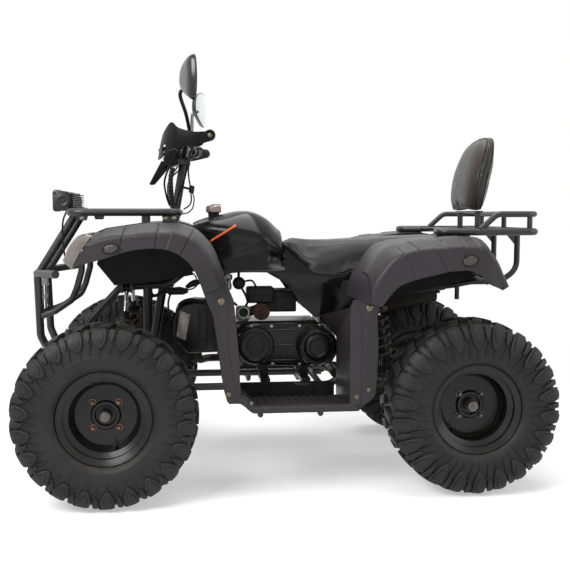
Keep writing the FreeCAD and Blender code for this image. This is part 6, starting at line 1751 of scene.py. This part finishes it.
for word, x, y, z, wide, high in (("front", front_x + 0.0285, -0.5142, 0.7875, 0.0235, 0.015),
                                  ("rear", rear_x - 0.039, -0.4993, 0.7455, 0.0255, 0.018)):
    rows = [(1.0, -0.0005), (1.0, 0.0022), (0.94, 0.0042), (0.86, 0.0042), (0.84, 0.0028), (0.0, 0.0028)]

    def mark_point(rows, u, v, ribbed):
        """A point on a slanted oval; a ribbed lens has fine upright waves."""
        (share, rise), angle = eased(rows, v), math.tau * u
        across = wide * share * math.cos(angle)
        lean = 0.006 * math.sin(angle) * share
        wave = 0.0004 * math.cos(across * 2400) if ribbed else 0.0
        return Vector((x + across + lean, y - rise - wave, z + high * share * math.sin(angle)))

    surround = bent_grid(f"mark_surround_{word}", 48, 10, lambda u, v: mark_point(rows, u, v, False))
    smoothed(sewn(surround), 40)
    surround.data.materials.append(liner)
    both_sides(surround, "chassis", f"mark_surround_{word}")
    dome = [(0.83, 0.0024), (0.8, 0.0046), (0.6, 0.0058), (0.3, 0.0064), (0.0, 0.0066)]
    mark = bent_grid(f"mark_lens_{word}", 96, 14, lambda u, v: mark_point(dome, u, v, True))
    smoothed(sewn(mark), 60)
    mark.data.materials.append(smoked)
    both_sides(mark, "chassis", f"mark_lens_{word}")
dress(smoked, "lamps")

# Filler cap. A ribbed bronze cap turned on to a black neck, with its vent lever
# lying on top.
cap_x, cap_z = -0.232, 0.872
neck = turned_along("filler_neck", (cap_x, 0, cap_z), (cap_x, 0, cap_z + 0.024), mm(
    (0, 20.8), (4, 20.8), (6, 19), (18, 19), (20.5, 21.2), (23.5, 21.2)), 40)
neck.data.materials.append(hose_black)
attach(neck, "chassis")
cap = turned_along("filler_cap", (cap_x, 0, cap_z + 0.022), (cap_x, 0, cap_z + 0.046), mm(
    (0, 24.8), (1.5, 26.6), (17, 26.8), (20.5, 25), (23.5, 21), (23.8, 12)), 60)
for point in cap.data.vertices:
    reach = Vector((point.co.x - cap_x, point.co.y, 0))
    hollow = int(math.degrees(math.atan2(reach.y, reach.x)) / 12 + 60) % 2
    if hollow and 0.0255 < reach.length and 0.8945 < point.co.z < 0.912:
        point.co -= reach.normalized() * 0.0012
cap_bronze = finish("cap_bronze", (0.2, 0.155, 0.135), 0.34, metal=0.9, grime=0.3)
tag = rounded_bar("cap_lever", [
    (cap_x - 0.012, 0, cap_z + 0.0462), (cap_x + 0.006, 0, cap_z + 0.0495),
    (cap_x + 0.026, 0, cap_z + 0.0488),
], [0.0035, 0.0022, 0.0022], 20, 10)
cap = joined("filler_cap", [cap, tag])
cap.data.materials.append(cap_bronze)
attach(cap, "chassis")
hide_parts("filler_cap")
dress(cap_bronze, "filler_cap")

# Camera. A long lens at the rider's left, level with the seat, turned a little
# towards the rear and tipped down; the place and angles were solved from the wheels.
camera = bpy.data.objects.new("camera", bpy.data.cameras.new("camera"))
scene.collection.objects.link(camera)
camera.data.sensor_width = 36
camera.data.lens = 54.66
camera.location = (-0.3063, -3.0675, 0.8891)
camera.rotation_euler = (math.radians(90 - 4.703), 0, math.radians(-6.087))
scene.camera = camera

# Studio. White sweep and soft boxes: the sweep shows plain white to the camera
# and in reflections, and still takes the bike's shadow.
scene.view_settings.view_transform = "Standard"


def seen_directly(tree, dark, white):
    """Mixes two shaders by whether the ray comes from the camera, a gloss or a clear surface."""
    path = tree.nodes.new("ShaderNodeLightPath")
    total = None
    for ray in ("Is Camera Ray", "Is Glossy Ray", "Is Transmission Ray"):
        if total is None:
            total = path.outputs[ray]
            continue
        either = tree.nodes.new("ShaderNodeMath")
        either.operation = "MAXIMUM"
        tree.links.new(total, either.inputs[0])
        tree.links.new(path.outputs[ray], either.inputs[1])
        total = either.outputs[0]
    mix = tree.nodes.new("ShaderNodeMixShader")
    tree.links.new(total, mix.inputs[0])
    tree.links.new(dark, mix.inputs[1])
    tree.links.new(white, mix.inputs[2])
    return mix.outputs[0]


world = bpy.data.worlds.new("studio")
scene.world = world
world.use_nodes = True
tree = world.node_tree
tree.nodes.clear()
backgrounds = []
for strength in (0.3, 1.0):
    background = tree.nodes.new("ShaderNodeBackground")
    background.inputs["Color"].default_value = (1, 1, 1, 1)
    background.inputs["Strength"].default_value = strength
    backgrounds.append(background.outputs[0])
out = tree.nodes.new("ShaderNodeOutputWorld")
tree.links.new(seen_directly(tree, *backgrounds), out.inputs[0])

bpy.ops.object.select_all(action="DESELECT")
bpy.ops.mesh.primitive_plane_add(size=40, location=(0, 0, -0.001))
floor = bpy.context.object
floor.name = "floor"
paper = bpy.data.materials.new("white_sweep")
paper.use_nodes = True
tree = paper.node_tree
tree.nodes.clear()
matt = tree.nodes.new("ShaderNodeBsdfDiffuse")
matt.inputs["Color"].default_value = (0.8, 0.8, 0.8, 1)
glow = tree.nodes.new("ShaderNodeEmission")
glow.inputs["Strength"].default_value = 0.42
both = tree.nodes.new("ShaderNodeAddShader")
tree.links.new(matt.outputs[0], both.inputs[0])
tree.links.new(glow.outputs[0], both.inputs[1])
# Farther out the paper is plain white, so no edge shows where it ends
plain = tree.nodes.new("ShaderNodeEmission")
spot = tree.nodes.new("ShaderNodeTexCoord")
reach = tree.nodes.new("ShaderNodeVectorMath")
reach.operation = "LENGTH"
tree.links.new(spot.outputs["Object"], reach.inputs[0])
fade = tree.nodes.new("ShaderNodeMapRange")
fade.interpolation_type = "SMOOTHSTEP"
fade.inputs["From Min"].default_value = 1.0
fade.inputs["From Max"].default_value = 2.2
tree.links.new(reach.outputs["Value"], fade.inputs["Value"])
wide = tree.nodes.new("ShaderNodeMixShader")
tree.links.new(fade.outputs[0], wide.inputs[0])
tree.links.new(both.outputs[0], wide.inputs[1])
tree.links.new(plain.outputs[0], wide.inputs[2])
out = tree.nodes.new("ShaderNodeOutputMaterial")
tree.links.new(seen_directly(tree, matt.outputs[0], wide.outputs[0]), out.inputs["Surface"])
floor.data.materials.append(paper)
floor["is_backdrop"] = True

for name, size, power, place, aim in (
    ("key_box", (2.2, 1.6), 118, (-2.2, -2.2, 2.7), (0, 0, 0.5)),
    ("top_box", (3.6, 2.0), 84, (0.2, 0.1, 3.2), (0, 0, 0.4)),
    ("rear_box", (2.0, 2.4), 26, (3.0, -1.6, 1.6), (0.3, 0, 0.6)),
    ("low_box", (3.4, 1.0), 8, (0, -3.4, 0.6), (0, 0, 0.45)),
):
    box = bpy.data.objects.new(name, bpy.data.lights.new(name, "AREA"))
    scene.collection.objects.link(box)
    box.data.shape = "RECTANGLE"
    box.data.size, box.data.size_y = size
    box.data.energy = power
    box.location = place
    box.rotation_euler = (Vector(aim) - Vector(place)).to_track_quat("-Z", "Y").to_euler()

size = {"cad": [list(c) for c in cad_box], "scene": [list(c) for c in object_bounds()]}
